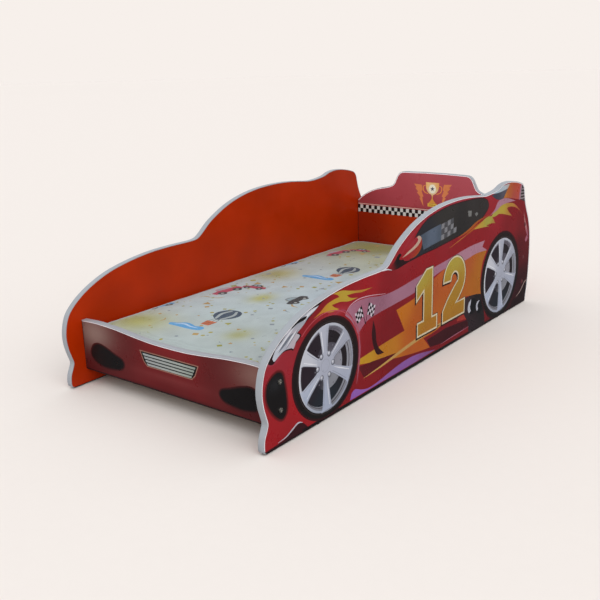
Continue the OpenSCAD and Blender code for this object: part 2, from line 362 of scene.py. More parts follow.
def welded(node):
    """A CAD node's shape with its corners joined and its flat faces whole."""
    bm = bmesh.new()
    bm.from_mesh(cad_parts[node].data)
    bmesh.ops.remove_doubles(bm, verts=bm.verts, dist=1e-5)
    bmesh.ops.dissolve_limit(bm, angle_limit=math.radians(0.5), verts=bm.verts, edges=bm.edges)
    bm.verts.index_update()
    points = [v.co.copy() for v in bm.verts]
    faces = [[v.index for v in f.verts] for f in bm.faces]
    bm.free()
    return points, faces


def rounded_copy(node, name, material, radius, segments=2, angle=40):
    """A copy of a CAD node with its corners rounded, in the node's place."""
    made = mesh_object(name, *welded(node), material)
    bevel = made.modifiers.new("Rounding", "BEVEL")
    bevel.width = radius
    bevel.segments = segments
    bevel.limit_method = "ANGLE"
    bevel.angle_limit = math.radians(angle)
    apply_modifiers(made)
    made.data.shade_smooth()
    made.data.set_sharp_from_angle(angle=math.radians(angle))
    return made


def face_loops(node, facing):
    """The closed edge loops of a node's faces that look one way; the longest comes first."""
    bm = bmesh.new()
    bm.from_mesh(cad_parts[node].data)
    bmesh.ops.remove_doubles(bm, verts=bm.verts, dist=1e-5)
    bm.normal_update()
    chosen = {f for f in bm.faces if f.normal.dot(Vector(facing)) > 0.9}
    rim = [e for e in bm.edges if sum(f in chosen for f in e.link_faces) == 1]
    after = {}
    for edge in rim:
        for vert in edge.verts:
            after.setdefault(vert, []).append(edge.other_vert(vert))
    loops, left = [], set(after)
    while left:
        loop = [min(left, key=lambda v: v.index)]
        while True:
            left.discard(loop[-1])
            ahead = [v for v in after[loop[-1]] if v in left]
            if not ahead:
                break
            loop.append(ahead[0])
        loops.append([v.co.copy() for v in loop])
    bm.free()
    return sorted(loops, key=lambda loop: -sum((a - b).length for a, b in zip(loop, loop[1:])))


def tube(name, path, radius, material, sides=8):
    """A closed round cord along a loop of points, half sunk in what it is sewn to."""
    points, faces = [], []
    count = len(path)
    for i, place in enumerate(path):
        ahead = (path[(i + 1) % count] - path[i - 1]).normalized()
        out = ahead.cross(Vector((0, 0, 1))).normalized()
        up = out.cross(ahead)
        for k in range(sides):
            a = 2 * math.pi * k / sides
            points.append(place + radius * (out * math.cos(a) + up * math.sin(a)))
    for i in range(count):
        for k in range(sides):
            j, m = (i + 1) % count, (k + 1) % sides
            faces.append((i * sides + k, j * sides + k, j * sides + m, i * sides + m))
    return mesh_object(name, points, faces, material, 60)


def level_circle(radius, height=0.0):
    """A level circle of points."""
    return [(x, y, height) for x, y in oval(0, 0, radius, count=STAGE_SIDES)]


def hand_over(piece, body, slot, *nodes):
    """Gives a piece its body and hides the CAD nodes it stands for. The slot is not used."""
    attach(piece, body)
    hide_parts(*nodes)
    return piece


def printed_film(name, node, facing, along, origin, layers, material, strength, highlight_to=math.inf):
    """A printed film in a CAD film's place: its ink is cut into the mesh, so that it stays crisp."""
    facing, along, up = Vector(facing), Vector(along), Vector((0, 0, 1))
    loops = [
        [((p - origin).dot(along) / MM, (p - origin).dot(up) / MM) for p in loop]
        for loop in face_loops(node, facing)
    ]
    low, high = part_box(node)
    front = max(low.dot(facing), high.dot(facing))
    # Below this height the rim gets painted shade instead of its painted highlight.
    foot = min(v for _, v in loops[0]) + 7

    def rim_highlight_and_shade(at):
        """The film's trimmed edge: a painted highlight, a bright line where the rounded edge would catch
        the light, but dark along the bottom and in corners, as painted shade.
        """
        lit_rim = (at[:, 1:] > foot) & (abs(at[:, :1]) < highlight_to)
        return np.where(lit_rim, linear("#E4E2E7"), linear("#171415"))

    # A 2 mm ring round the film: painted highlight along the lit edge, painted shade at the bottom and, on
    # the end boards, at their ends.
    rim = ink_layer(rim_highlight_and_shade, loops[0], grown(loops[0], -2))
    at, triangles, colours = cut_sheet(loops, [*layers, rim], 11)
    colours[..., :3] *= strength
    if along.cross(up).dot(facing) < 0:
        triangles, colours = triangles[:, ::-1], colours[:, ::-1]
    base = origin - facing * origin.dot(facing) + facing * front
    points = [base + along * (u * MM) + up * (v * MM) for u, v in at]
    mesh = bpy.data.meshes.new(name)
    mesh.from_pydata(points, [], triangles.tolist())
    ink = mesh.color_attributes.new("ink", "FLOAT_COLOR", "CORNER")
    ink.data.foreach_set("color", colours.ravel())
    mesh.materials.append(material)
    made = new_object(name, mesh)
    body = made.modifiers.new("Film", "SOLIDIFY")
    body.thickness = abs((high - low).dot(facing))
    body.offset = -1
    apply_modifiers(made)
    return hand_over(made, "frame", "printed_film", node)


# --- Materials ---

# Inputs of a node that carries a value from one range to another.
RANGE = ("Value", "From Min", "From Max", "To Min", "To Max")


def add_node(tree, kind, inputs=None, **settings):
    """Adds a node with its settings; an input takes a value, a socket, or a node whose result it uses."""
    made = tree.nodes.new(kind)
    for name, value in settings.items():
        setattr(made, name, value)
    for name, source in (inputs or {}).items():
        if isinstance(source, bpy.types.Node):
            source = next(socket for socket in source.outputs if socket.enabled)
        if isinstance(source, bpy.types.NodeSocket):
            tree.links.new(source, made.inputs[name])
        else:
            made.inputs[name].default_value = source
    return made


def rgba(colour):
    return (*linear(colour), 1)


def new_material(name):
    """An empty material, its node tree and the object's own coordinates in it."""
    material = bpy.data.materials.new(name)
    material.use_nodes = True
    material.node_tree.nodes.clear()
    place = add_node(material.node_tree, "ShaderNodeTexCoord").outputs["Object"]
    return material, material.node_tree, place


def printed_pvc_film():
    """Printed and laminated PVC film: the ink under a clear satin skin, which gives soft, smudged gloss."""
    material, tree, place = new_material("Printed PVC film, laminated")
    ink = add_node(tree, "ShaderNodeVertexColor", layer_name="ink")
    patches = add_node(
        tree, "ShaderNodeTexNoise", {"Vector": place, "Scale": 1 / (120 * MM), "Detail": 3.0}
    )
    cloudy = add_node(tree, "ShaderNodeMapRange", dict(zip(RANGE, (patches, 0.3, 0.7, 0.93, 1.06))))
    # A print's dots are about 0.1 mm apart; drawn as 1.6 mm lumps so that the speckle shows.
    dots = add_node(tree, "ShaderNodeTexNoise", {"Vector": place, "Scale": 1 / (1.6 * MM), "Detail": 1.0})
    speckle = add_node(tree, "ShaderNodeMapRange", dict(zip(RANGE, (dots, 0.3, 0.7, 0.95, 1.05))))
    tone = add_node(tree, "ShaderNodeMath", {0: cloudy, 1: speckle}, operation="MULTIPLY")
    toned = add_node(
        tree, "ShaderNodeMix", {0: 1.0, 6: ink, 7: tone}, data_type="RGBA", blend_type="MULTIPLY"
    )
    hands = add_node(tree, "ShaderNodeTexNoise", {"Vector": place, "Scale": 1 / (55 * MM), "Detail": 4.0})
    smudges = add_node(tree, "ShaderNodeMapRange", dict(zip(RANGE, (hands, 0.3, 0.7, 0.24, 0.4))))
    swell = add_node(tree, "ShaderNodeTexNoise", {"Vector": place, "Scale": 1 / (9 * MM)})
    ripple = add_node(tree, "ShaderNodeBump", {"Height": swell, "Strength": 0.35, "Distance": 0.12 * MM})
    skin = {
        "Base Color": toned, "Roughness": smudges, "Normal": ripple, "IOR": 1.53, "Specular IOR Level": 0.2
    }
    shader = add_node(tree, "ShaderNodeBsdfPrincipled", skin)
    add_node(tree, "ShaderNodeOutputMaterial", {"Surface": shader})
    return material


def melamine_laminate(colour):
    """Melamine-faced board, pressed: an even colour under a fine pebbled satin skin."""
    material, tree, place = new_material("Melamine laminate, pressed")
    patches = add_node(
        tree, "ShaderNodeTexNoise", {"Vector": place, "Scale": 1 / (160 * MM), "Detail": 4.0}
    )
    worn = add_node(tree, "ShaderNodeMapRange", dict(zip(RANGE, (patches, 0.3, 0.7, 0.86, 1.08))))
    tone = {0: 1.0, 6: rgba(colour), 7: worn}
    toned = add_node(tree, "ShaderNodeMix", tone, data_type="RGBA", blend_type="MULTIPLY")
    hands = add_node(tree, "ShaderNodeTexNoise", {"Vector": place, "Scale": 1 / (40 * MM), "Detail": 3.0})
    smudges = add_node(tree, "ShaderNodeMapRange", dict(zip(RANGE, (hands, 0.3, 0.7, 0.3, 0.44))))
    # The press plate's pebbles are 0.5 mm; drawn at 1.8 mm so that they show.
    pebbles = add_node(tree, "ShaderNodeTexNoise", {"Vector": place, "Scale": 1 / (1.8 * MM)})
    relief = add_node(tree, "ShaderNodeBump", {"Height": pebbles, "Strength": 0.4, "Distance": 0.1 * MM})
    skin = {
        "Base Color": toned, "Roughness": smudges, "Normal": relief, "IOR": 1.55, "Specular IOR Level": 0.12
    }
    shader = add_node(tree, "ShaderNodeBsdfPrincipled", skin)
    add_node(tree, "ShaderNodeOutputMaterial", {"Surface": shader})
    return material


def extruded_edge_band(colour, painted_shade_below):
    """PVC edge band, extruded and scraped: pale grey, with faint marks of the scraper and of hands.

    Below a height the band is painted dark brown, as painted shade along the boards' undersides."""
    material, tree, place = new_material("PVC edge band, extruded")
    hands = add_node(tree, "ShaderNodeTexNoise", {"Vector": place, "Scale": 1 / (70 * MM), "Detail": 4.0})
    handled = add_node(tree, "ShaderNodeMapRange", dict(zip(RANGE, (hands, 0.45, 0.75, 0.0, 0.3))))
    grimy = {0: handled, 6: rgba(colour), 7: rgba(mixed(colour, "#6E675F", 0.45))}
    pale = add_node(tree, "ShaderNodeMix", grimy, data_type="RGBA")
    # Painted shade: below the given height the band turns dark brown.
    height = add_node(tree, "ShaderNodeSeparateXYZ", {"Vector": place}).outputs["Z"]
    under = add_node(tree, "ShaderNodeMath", {0: height, 1: painted_shade_below}, operation="LESS_THAN")
    toned = add_node(tree, "ShaderNodeMix", {0: under, 6: pale, 7: rgba("#2C1C1C")}, data_type="RGBA")
    along = {"Vector": place, "Scale": (1 / (9 * MM), 1 / (9 * MM), 1 / (1.5 * MM))}
    drawn = add_node(tree, "ShaderNodeMapping", along)
    scrapes = add_node(tree, "ShaderNodeTexNoise", {"Vector": drawn, "Scale": 1.0, "Detail": 3.0})
    relief = add_node(tree, "ShaderNodeBump", {"Height": scrapes, "Strength": 0.4, "Distance": 0.08 * MM})
    patches = add_node(tree, "ShaderNodeTexNoise", {"Vector": place, "Scale": 1 / (25 * MM), "Detail": 3.0})
    smudges = add_node(tree, "ShaderNodeMapRange", dict(zip(RANGE, (patches, 0.3, 0.7, 0.36, 0.52))))
    skin = {
        "Base Color": toned, "Roughness": smudges, "Normal": relief, "IOR": 1.53, "Specular IOR Level": 0.3
    }
    shader = add_node(tree, "ShaderNodeBsdfPrincipled", skin)
    add_node(tree, "ShaderNodeOutputMaterial", {"Surface": shader})
    return material


def planed_wood(name, colour, along, ring_gap=9):
    """Planed softwood or poplar: growth lines along the piece, pores between them, and a dull face."""
    material, tree, place = new_material(name)
    stretch = [26 if i == along else 1 for i in range(3)]
    rings = {"Vector": place, "Scale": tuple(1 / (s * ring_gap * MM) for s in stretch)}
    grown_rings = add_node(tree, "ShaderNodeMapping", rings)
    lines = add_node(tree, "ShaderNodeTexNoise", {"Vector": grown_rings, "Scale": 1.0, "Detail": 3.0})
    pits = {"Vector": place, "Scale": tuple(1 / (s * 1.2 * MM) for s in stretch)}
    long_pits = add_node(tree, "ShaderNodeMapping", pits)
    pores = add_node(tree, "ShaderNodeTexNoise", {"Vector": long_pits, "Scale": 1.0})
    patches = add_node(tree, "ShaderNodeTexNoise", {"Vector": place, "Scale": 1 / (95 * MM), "Detail": 1.0})
    share = add_node(tree, "ShaderNodeMapRange", dict(zip(RANGE, (lines, 0.38, 0.62, 0.0, 1.0))))
    wood = {0: share, 6: rgba(mixed(colour, "#5C3A1C", 0.34)), 7: rgba(colour)}
    grain = add_node(tree, "ShaderNodeMix", wood, data_type="RGBA")
    board = add_node(tree, "ShaderNodeMapRange", dict(zip(RANGE, (patches, 0.3, 0.7, 0.85, 1.1))))
    dark_pores = add_node(tree, "ShaderNodeMapRange", dict(zip(RANGE, (pores, 0.3, 0.7, 0.86, 1.04))))
    tone = add_node(tree, "ShaderNodeMath", {0: board, 1: dark_pores}, operation="MULTIPLY")
    toned = add_node(
        tree, "ShaderNodeMix", {0: 1.0, 6: grain, 7: tone}, data_type="RGBA", blend_type="MULTIPLY"
    )
    dull = add_node(tree, "ShaderNodeMapRange", dict(zip(RANGE, (lines, 0.3, 0.7, 0.62, 0.5))))
    height = add_node(tree, "ShaderNodeMath", {0: lines, 1: pores}, operation="ADD")
    relief = add_node(tree, "ShaderNodeBump", {"Height": height, "Strength": 0.5, "Distance": 0.18 * MM})
    face = {
        "Base Color": toned, "Roughness": dull, "Normal": relief, "IOR": 1.5, "Specular IOR Level": 0.35
    }
    shader = add_node(tree, "ShaderNodeBsdfPrincipled", face)
    add_node(tree, "ShaderNodeOutputMaterial", {"Surface": shader})
    return material


def plated_metal(name, colour, roughness, spots=0.5):
    """Plated steel: a bright skin with fine turning marks, and dull spots where the plating is handled."""
    material, tree, place = new_material(name)
    dots = add_node(tree, "ShaderNodeTexNoise", {"Vector": place, "Scale": 1 / (2.5 * MM), "Detail": 4.0})
    dull = add_node(tree, "ShaderNodeMapRange", dict(zip(RANGE, (dots, 0.5, 0.75, 0.0, 1.0))))
    share = add_node(tree, "ShaderNodeMath", {0: dull, 1: spots}, operation="MULTIPLY")
    tones = {0: share, 6: rgba(colour), 7: rgba(mixed(colour, "#3A3A3C", 0.6))}
    toned = add_node(tree, "ShaderNodeMix", tones, data_type="RGBA")
    rough_range = dict(zip(RANGE, (dull, 0.0, 1.0, roughness, roughness + 0.2)))
    rough = add_node(tree, "ShaderNodeMapRange", rough_range)
    turned = {"Vector": place, "Scale": (1 / (0.5 * MM), 1 / (0.5 * MM), 1 / (2 * MM))}
    drawn = add_node(tree, "ShaderNodeMapping", turned)
    marks = add_node(tree, "ShaderNodeTexNoise", {"Vector": drawn, "Scale": 1.0})
    relief = add_node(tree, "ShaderNodeBump", {"Height": marks, "Strength": 0.4, "Distance": 0.03 * MM})
    face = {"Base Color": toned, "Roughness": rough, "Normal": relief, "Metallic": 1.0}
    shader = add_node(tree, "ShaderNodeBsdfPrincipled", face)
    add_node(tree, "ShaderNodeOutputMaterial", {"Surface": shader})
    return material


def moulded_plastic(name, colour, roughness=0.45):
    """Injection-moulded plastic: one colour with a faint flow pattern and scuffs."""
    material, tree, place = new_material(name)
    dots = add_node(tree, "ShaderNodeTexNoise", {"Vector": place, "Scale": 1 / (3 * MM), "Detail": 4.0})
    scuffs = add_node(tree, "ShaderNodeMapRange", dict(zip(RANGE, (dots, 0.5, 0.75, 0.0, 0.5))))
    tones = {0: scuffs, 6: rgba(colour), 7: rgba(mixed(colour, "#8A8A88", 0.25))}
    toned = add_node(tree, "ShaderNodeMix", tones, data_type="RGBA")
    flow = add_node(tree, "ShaderNodeTexNoise", {"Vector": place, "Scale": 1 / (6 * MM)})
    flow_range = dict(zip(RANGE, (flow, 0.3, 0.7, roughness - 0.08, roughness + 0.1)))
    rough = add_node(tree, "ShaderNodeMapRange", flow_range)
    pebbles = add_node(tree, "ShaderNodeTexNoise", {"Vector": place, "Scale": 1 / (0.8 * MM)})
    relief = add_node(tree, "ShaderNodeBump", {"Height": pebbles, "Strength": 0.4, "Distance": 0.04 * MM})
    skin = {"Base Color": toned, "Roughness": rough, "Normal": relief, "IOR": 1.5}
    shader = add_node(tree, "ShaderNodeBsdfPrincipled", skin)
    add_node(tree, "ShaderNodeOutputMaterial", {"Surface": shader})
    return material


def woven_cloth(name, colour=None, thread=1.3, sheen=0.25):
    """Plain-woven cotton and polyester: crossing threads, a dull face and a light bloom at its edges.

    Real threads are 0.35 mm apart; they are drawn coarser so that the weave shows."""
    material, tree, place = new_material(name)
    ground = add_node(tree, "ShaderNodeVertexColor", layer_name="ink") if colour is None else rgba(colour)
    waves = {"Vector": place, "Scale": math.pi / (10 * thread * MM), "Distortion": 1.2, "Detail": 1.0}
    across, along, upward = (
        add_node(tree, "ShaderNodeTexWave", waves, bands_direction=axis) for axis in "XYZ"
    )
    crossed = add_node(
        tree, "ShaderNodeMath", {0: across.outputs["Fac"], 1: along.outputs["Fac"]}, operation="MULTIPLY"
    )
    standing = {0: upward.outputs["Fac"], 1: 0.5, 2: crossed}
    weave = add_node(tree, "ShaderNodeMath", standing, operation="MULTIPLY_ADD")
    drawn = add_node(tree, "ShaderNodeMapping", {"Vector": place, "Scale": (200.0, 29.0, 29.0)})
    slub = add_node(tree, "ShaderNodeTexNoise", {"Vector": drawn, "Scale": 1.0, "Detail": 3.0})
    patches = add_node(tree, "ShaderNodeTexNoise", {"Vector": place, "Scale": 1 / (90 * MM), "Detail": 3.0})
    faded = add_node(tree, "ShaderNodeMapRange", dict(zip(RANGE, (patches, 0.3, 0.7, 0.94, 1.05))))
    threads = add_node(tree, "ShaderNodeMapRange", dict(zip(RANGE, (weave, 0.1, 0.9, 0.9, 1.04))))
    uneven = add_node(tree, "ShaderNodeMapRange", dict(zip(RANGE, (slub, 0.3, 0.7, 0.96, 1.04))))
    tone = add_node(tree, "ShaderNodeMath", {0: faded, 1: threads}, operation="MULTIPLY")
    tone = add_node(tree, "ShaderNodeMath", {0: tone, 1: uneven}, operation="MULTIPLY")
    toned = add_node(
        tree, "ShaderNodeMix", {0: 1.0, 6: ground, 7: tone}, data_type="RGBA", blend_type="MULTIPLY"
    )
    dull = add_node(tree, "ShaderNodeMapRange", dict(zip(RANGE, (slub, 0.3, 0.7, 0.78, 0.92))))
    height = add_node(tree, "ShaderNodeMath", {0: weave, 1: slub}, operation="ADD")
    raised = add_node(tree, "ShaderNodeBump", {"Height": height, "Strength": 0.5, "Distance": 0.25 * MM})
    face = {"Base Color": toned, "Roughness": dull, "Normal": raised, "IOR": 1.5, "Specular IOR Level": 0.2}
    shader = add_node(
        tree, "ShaderNodeBsdfPrincipled", {**face, "Sheen Weight": sheen, "Sheen Roughness": 0.45}
    )
    add_node(tree, "ShaderNodeOutputMaterial", {"Surface": shader})
    return material


def matt_paper(colour):
    """Matt studio paper: pale and even, with a faint mottle of its fibres."""
    material, tree, place = new_material("Studio paper, matt")
    fibres = add_node(tree, "ShaderNodeTexNoise", {"Vector": place, "Scale": 1 / (30 * MM), "Detail": 3.0})
    share = add_node(tree, "ShaderNodeMapRange", dict(zip(RANGE, (fibres, 0.3, 0.7, 0.0, 0.03))))
    tones = {0: share, 6: rgba(colour), 7: rgba(mixed(colour, "#B8ACA8", 0.5))}
    mottled = add_node(tree, "ShaderNodeMix", tones, data_type="RGBA")
    face = {"Base Color": mottled, "Roughness": 1.0, "IOR": 1.45, "Specular IOR Level": 0.0}
    shader = add_node(tree, "ShaderNodeBsdfPrincipled", face)
    add_node(tree, "ShaderNodeOutputMaterial", {"Surface": shader})
    return material


def studio_sky(colour, strength):
    """A white tent of light over the floor, and dim below it, where only gloss can see."""
    world = bpy.data.worlds.new("Studio tent, white")
    world.use_nodes = True
    tree = world.node_tree
    tree.nodes.clear()
    aim = add_node(tree, "ShaderNodeTexCoord").outputs["Generated"]
    height = add_node(tree, "ShaderNodeSeparateXYZ", {"Vector": aim}).outputs["Z"]
    share = add_node(
        tree, "ShaderNodeMapRange", dict(zip(RANGE, (height, -0.02, 0.05, 0.13 * strength, strength)))
    )
    tent = add_node(tree, "ShaderNodeBackground", {"Color": rgba(colour), "Strength": share})
    add_node(tree, "ShaderNodeOutputWorld", {"Surface": tent})
    return world


# --- Artwork: side panels ---


def wheel_print(rim, radius, tyre, hub, spokes, inks):
    """A tyre and a cast six-spoke wheel seen from the side.

    Takes the rim's centre and radius, the tyre's oval, the hub's centre and the spokes' angles."""
    silver, soot = inks.silver, inks.soot
    u, v = rim

    def disc(share, du=0, dv=0):
        return oval(u + du, v + dv, radius * share)

    lit = field(
        (u - radius, v + radius * 0.4, mixed(silver, "#FFFFFF", 0.3)),
        (u, v + radius, mixed(silver, "#FFFFFF", 0.1)),
        (u + radius, v, mixed(silver, "#5A5E6A", 0.35)),
        (u, v - radius, mixed(silver, "#8090A8", 0.3)),
        reach=radius * 0.4,
    )
    cast = field(
        (u - radius * 0.7, v + radius * 0.3, mixed(silver, "#FFFFFF", 0.22)),
        (u + radius * 0.6, v + radius * 0.5, mixed(silver, "#8C93A6", 0.2)),
        (u - radius * 0.5, v - radius * 0.6, mixed(silver, "#9FB6D8", 0.35)),
        (u + radius * 0.2, v - radius * 0.8, mixed(silver, "#9FB6D8", 0.25)),
        (*hub, mixed(silver, "#9A9FB0", 0.3)),
        reach=radius * 0.35,
    )
    layers = [
        ink_layer(mixed(inks.deep, soot, 0.4), grown(oval(*tyre), 6)),
        ink_layer(
            field((u, v + radius * 1.2, mixed(soot, "#3A2220", 0.3)), (u, v - radius, "#1B1718")),
            oval(*tyre),
        ),
        ink_layer(mixed(soot, "#5A4A4A", 0.35), disc(1.045), disc(1.03)),
        ink_layer(lit, disc(1)),
        ink_layer(mixed(silver, soot, 0.5), disc(0.945)),
        ink_layer(
            field((u - radius, v, "#2A2028"), (u + radius, v, "#241E22"), (u, v - radius, "#242A32")),
            disc(0.925),
        ),
        ink_layer(
            field((u + radius, v, "#8D8E97"), (u, v + radius, "#5A5560"), (u, v - radius, "#7E8088")),
            disc(0.925),
            disc(0.85, -radius * 0.09, radius * 0.02),
        ),
        ink_layer("#4B4850", disc(0.89, -radius * 0.03), disc(0.875, -radius * 0.045, radius * 0.01)),
        ink_layer(
            field(
                (hub[0] + 50, hub[1] + 60, "#4A4650"),
                (hub[0] + 70, hub[1], "#8A8A94"),
                (hub[0] + 30, hub[1] - 60, "#82848C"),
                (hub[0] - 40, hub[1] - 40, "#2A2630"),
                (hub[0] - 60, hub[1] + 20, "#2A222A"),
                reach=20,
            ),
            oval(hub[0] + 12, hub[1] - 5, radius * 0.53),
        ),
        ink_layer(
            "#6C6A74",
            *(oval(*p, 2.4, count=10) for p in oval(hub[0] + 12, hub[1] - 5, radius * 0.47, count=16)),
        ),
    ]
    for angle in spokes:
        ahead = np.array([math.cos(math.radians(angle)), math.sin(math.radians(angle))])
        side = np.array([-ahead[1], ahead[0]])
        gap = np.array(hub) - rim
        reach = -gap @ ahead + math.sqrt((gap @ ahead) ** 2 - gap @ gap + (radius * 0.93) ** 2)
        half = [(0.16, 15), (0.36, 11), (0.62, 14), (0.88, 18.5), (0.97, 21), (1.04, 27)]

        def edge(share, wide, ahead=ahead, side=side, reach=reach):
            return np.array(hub) + ahead * reach * share + side * wide * radius / 121

        blade = np.concatenate(
            [
                smooth([edge(s, w) for s, w in half], closed=False),
                smooth([edge(s, -w) for s, w in half[::-1]], closed=False),
            ]
        )
        layers += [
            ink_layer(mixed(silver, soot, 0.55), blade + (1.5, -2)),
            ink_layer(cast, blade),
            ink_layer(
                mixed(silver, "#6B7080", 0.55),
                ribbon([edge(0.3, -6), edge(0.6, -9), edge(0.93, -14)], [1.2, 2, 1.2]),
            ),
            ink_layer(
                mixed(silver, "#FFFFFF", 0.45),
                ribbon([edge(0.34, 5), edge(0.6, 8), edge(0.95, 12)], [1, 3.4, 2]),
            ),
        ]
    layers += [
        ink_layer(cast, oval(*hub, radius * 0.32)),
        ink_layer(mixed(silver, soot, 0.2), oval(*hub, 18), oval(*hub, 16.6)),
    ]
    for spot in oval(*hub, radius * 0.28, count=6):
        layers += [
            ink_layer(mixed(silver, soot, 0.8), oval(spot[0] + 0.6, spot[1] - 0.8, 8, count=20)),
            ink_layer(mixed(silver, soot, 0.25), oval(spot[0], spot[1], 6.2, count=20)),
            ink_layer(mixed(silver, "#FFFFFF", 0.3), oval(spot[0] - 1, spot[1] + 1.4, 3.6, count=16)),
        ]
    return layers


def numeral_print(inks, mirrored):
    """The start number 12 in block numerals: shadow, cream outline and gold face."""
    one = straight(
        (8, 0), (124, 0), (124, 38), (92, 38), (92, 196), (56, 196), (0, 158), (0, 114), (44, 140),
        (44, 38), (8, 38),
    ) + (716, 90)
    two = np.concatenate(
        [
            oval(78, 128, 72, 70, 178, -214, 26),
            smooth([(128, 78), (108, 60), (84, 44)], closed=False),
            straight((150, 44), (150, 0), (4, 0), (4, 36)),
            smooth([(34, 68), (68, 94), (96, 114)], closed=False),
            oval(78, 128, 27, 26, -32, 210, 16),
        ]
    ) + (878, 90)
    gold = field(
        (740, 280, mixed(inks.gold, "#A9A848", 0.5)),
        (950, 285, mixed(inks.gold, "#A9A848", 0.5)),
        (780, 180, inks.gold),
        (960, 180, inks.gold),
        (800, 90, mixed(inks.gold, inks.orange, 0.45)),
        (950, 90, mixed(inks.gold, inks.orange, 0.25)),
    )
    layers = []
    for shape in (one, two):
        if mirrored:
            shape = shape * (-1, 1) + (2 * 872, 0)
        layers += [
            ink_layer(mixed(inks.soot, inks.deep, 0.4), grown(shape, 5) + (7 if mirrored else -7, -5)),
            ink_layer(inks.soot, grown(shape, 7)),
            ink_layer(inks.cream, grown(shape, 5)),
            ink_layer(gold, grown(shape, -0.5)),
        ]
    return layers


def flag_print(u, v, side, inks):
    """A little chequered flag that waves from its pole; side is 1 to the right and -1 to the left."""

    def spot(i, j):
        return u + side * (8 * i + 2.6 * j), v + 7.6 * j + 2.6 * math.sin(1.6 * i) - 3 * i

    cells = [
        straight(spot(i, j), spot(i + 1, j), spot(i + 1, j + 1), spot(i, j + 1))
        for i in range(4)
        for j in range(4)
    ]
    dark = [cell for k, cell in enumerate(cells) if (k // 4 + k % 4) % 2]
    light = [cell for k, cell in enumerate(cells) if not (k // 4 + k % 4) % 2]
    pole = ribbon([(u + side * 11, v + 34), (u, v), (u - side * 8, v - 24)], [2.4, 2.4])
    return [
        ink_layer(mixed(inks.mauve, "#C8C4CC", 0.75), *light),
        ink_layer(inks.soot, *dark),
        ink_layer(inks.soot, pole),
    ]


def bodywork_paint(inks):
    """The red of the bodywork, from the bright bonnet to the shaded tail."""
    red, deep, soot = inks.red, inks.deep, inks.soot
    shades = field(
        (60, 200, mixed(red, inks.blush, 0.18)),
        (110, 90, mixed(red, "#FF2020", 0.05)),
        (70, 40, red),
        (230, 310, mixed(red, deep, 0.32)),
        (330, 326, mixed(red, deep, 0.12)),
        (450, 320, red),
        (420, 180, mixed(red, deep, 0.25)),
        (560, 300, mixed(red, deep, 0.3)),
        (560, 160, mixed(red, deep, 0.45)),
        (640, 45, mixed(red, deep, 0.55)),
        (430, 60, mixed(red, deep, 0.3)),
        (760, 320, mixed(red, deep, 0.15)),
        (1000, 330, mixed(red, deep, 0.2)),
        (880, 30, mixed(red, deep, 0.5)),
        (1100, 340, mixed(red, deep, 0.22)),
        (620, 400, mixed(red, inks.blush, 0.1)),
        (950, 466, mixed(red, inks.blush, 0.3)),
        (1230, 420, mixed(red, inks.blush, 0.1)),
        (1400, 330, mixed(red, deep, 0.35)),
        (1490, 330, mixed(red, deep, 0.4)),
        (1480, 200, mixed(red, deep, 0.75)),
        (1490, 100, mixed(deep, soot, 0.35)),
        (1520, 20, mixed(deep, soot, 0.6)),
    )
    return misted(
        shades,
        (300, 278, 60, 10, mixed(red, "#E06070", 0.4), 0.5),
        (392, 210, 18, 60, mixed(red, "#E06070", 0.5), 0.45),
        (150, 150, 20, 60, mixed(deep, red, 0.5), 0.4),
        (1460, 215, 60, 90, deep, 0.3),
    )


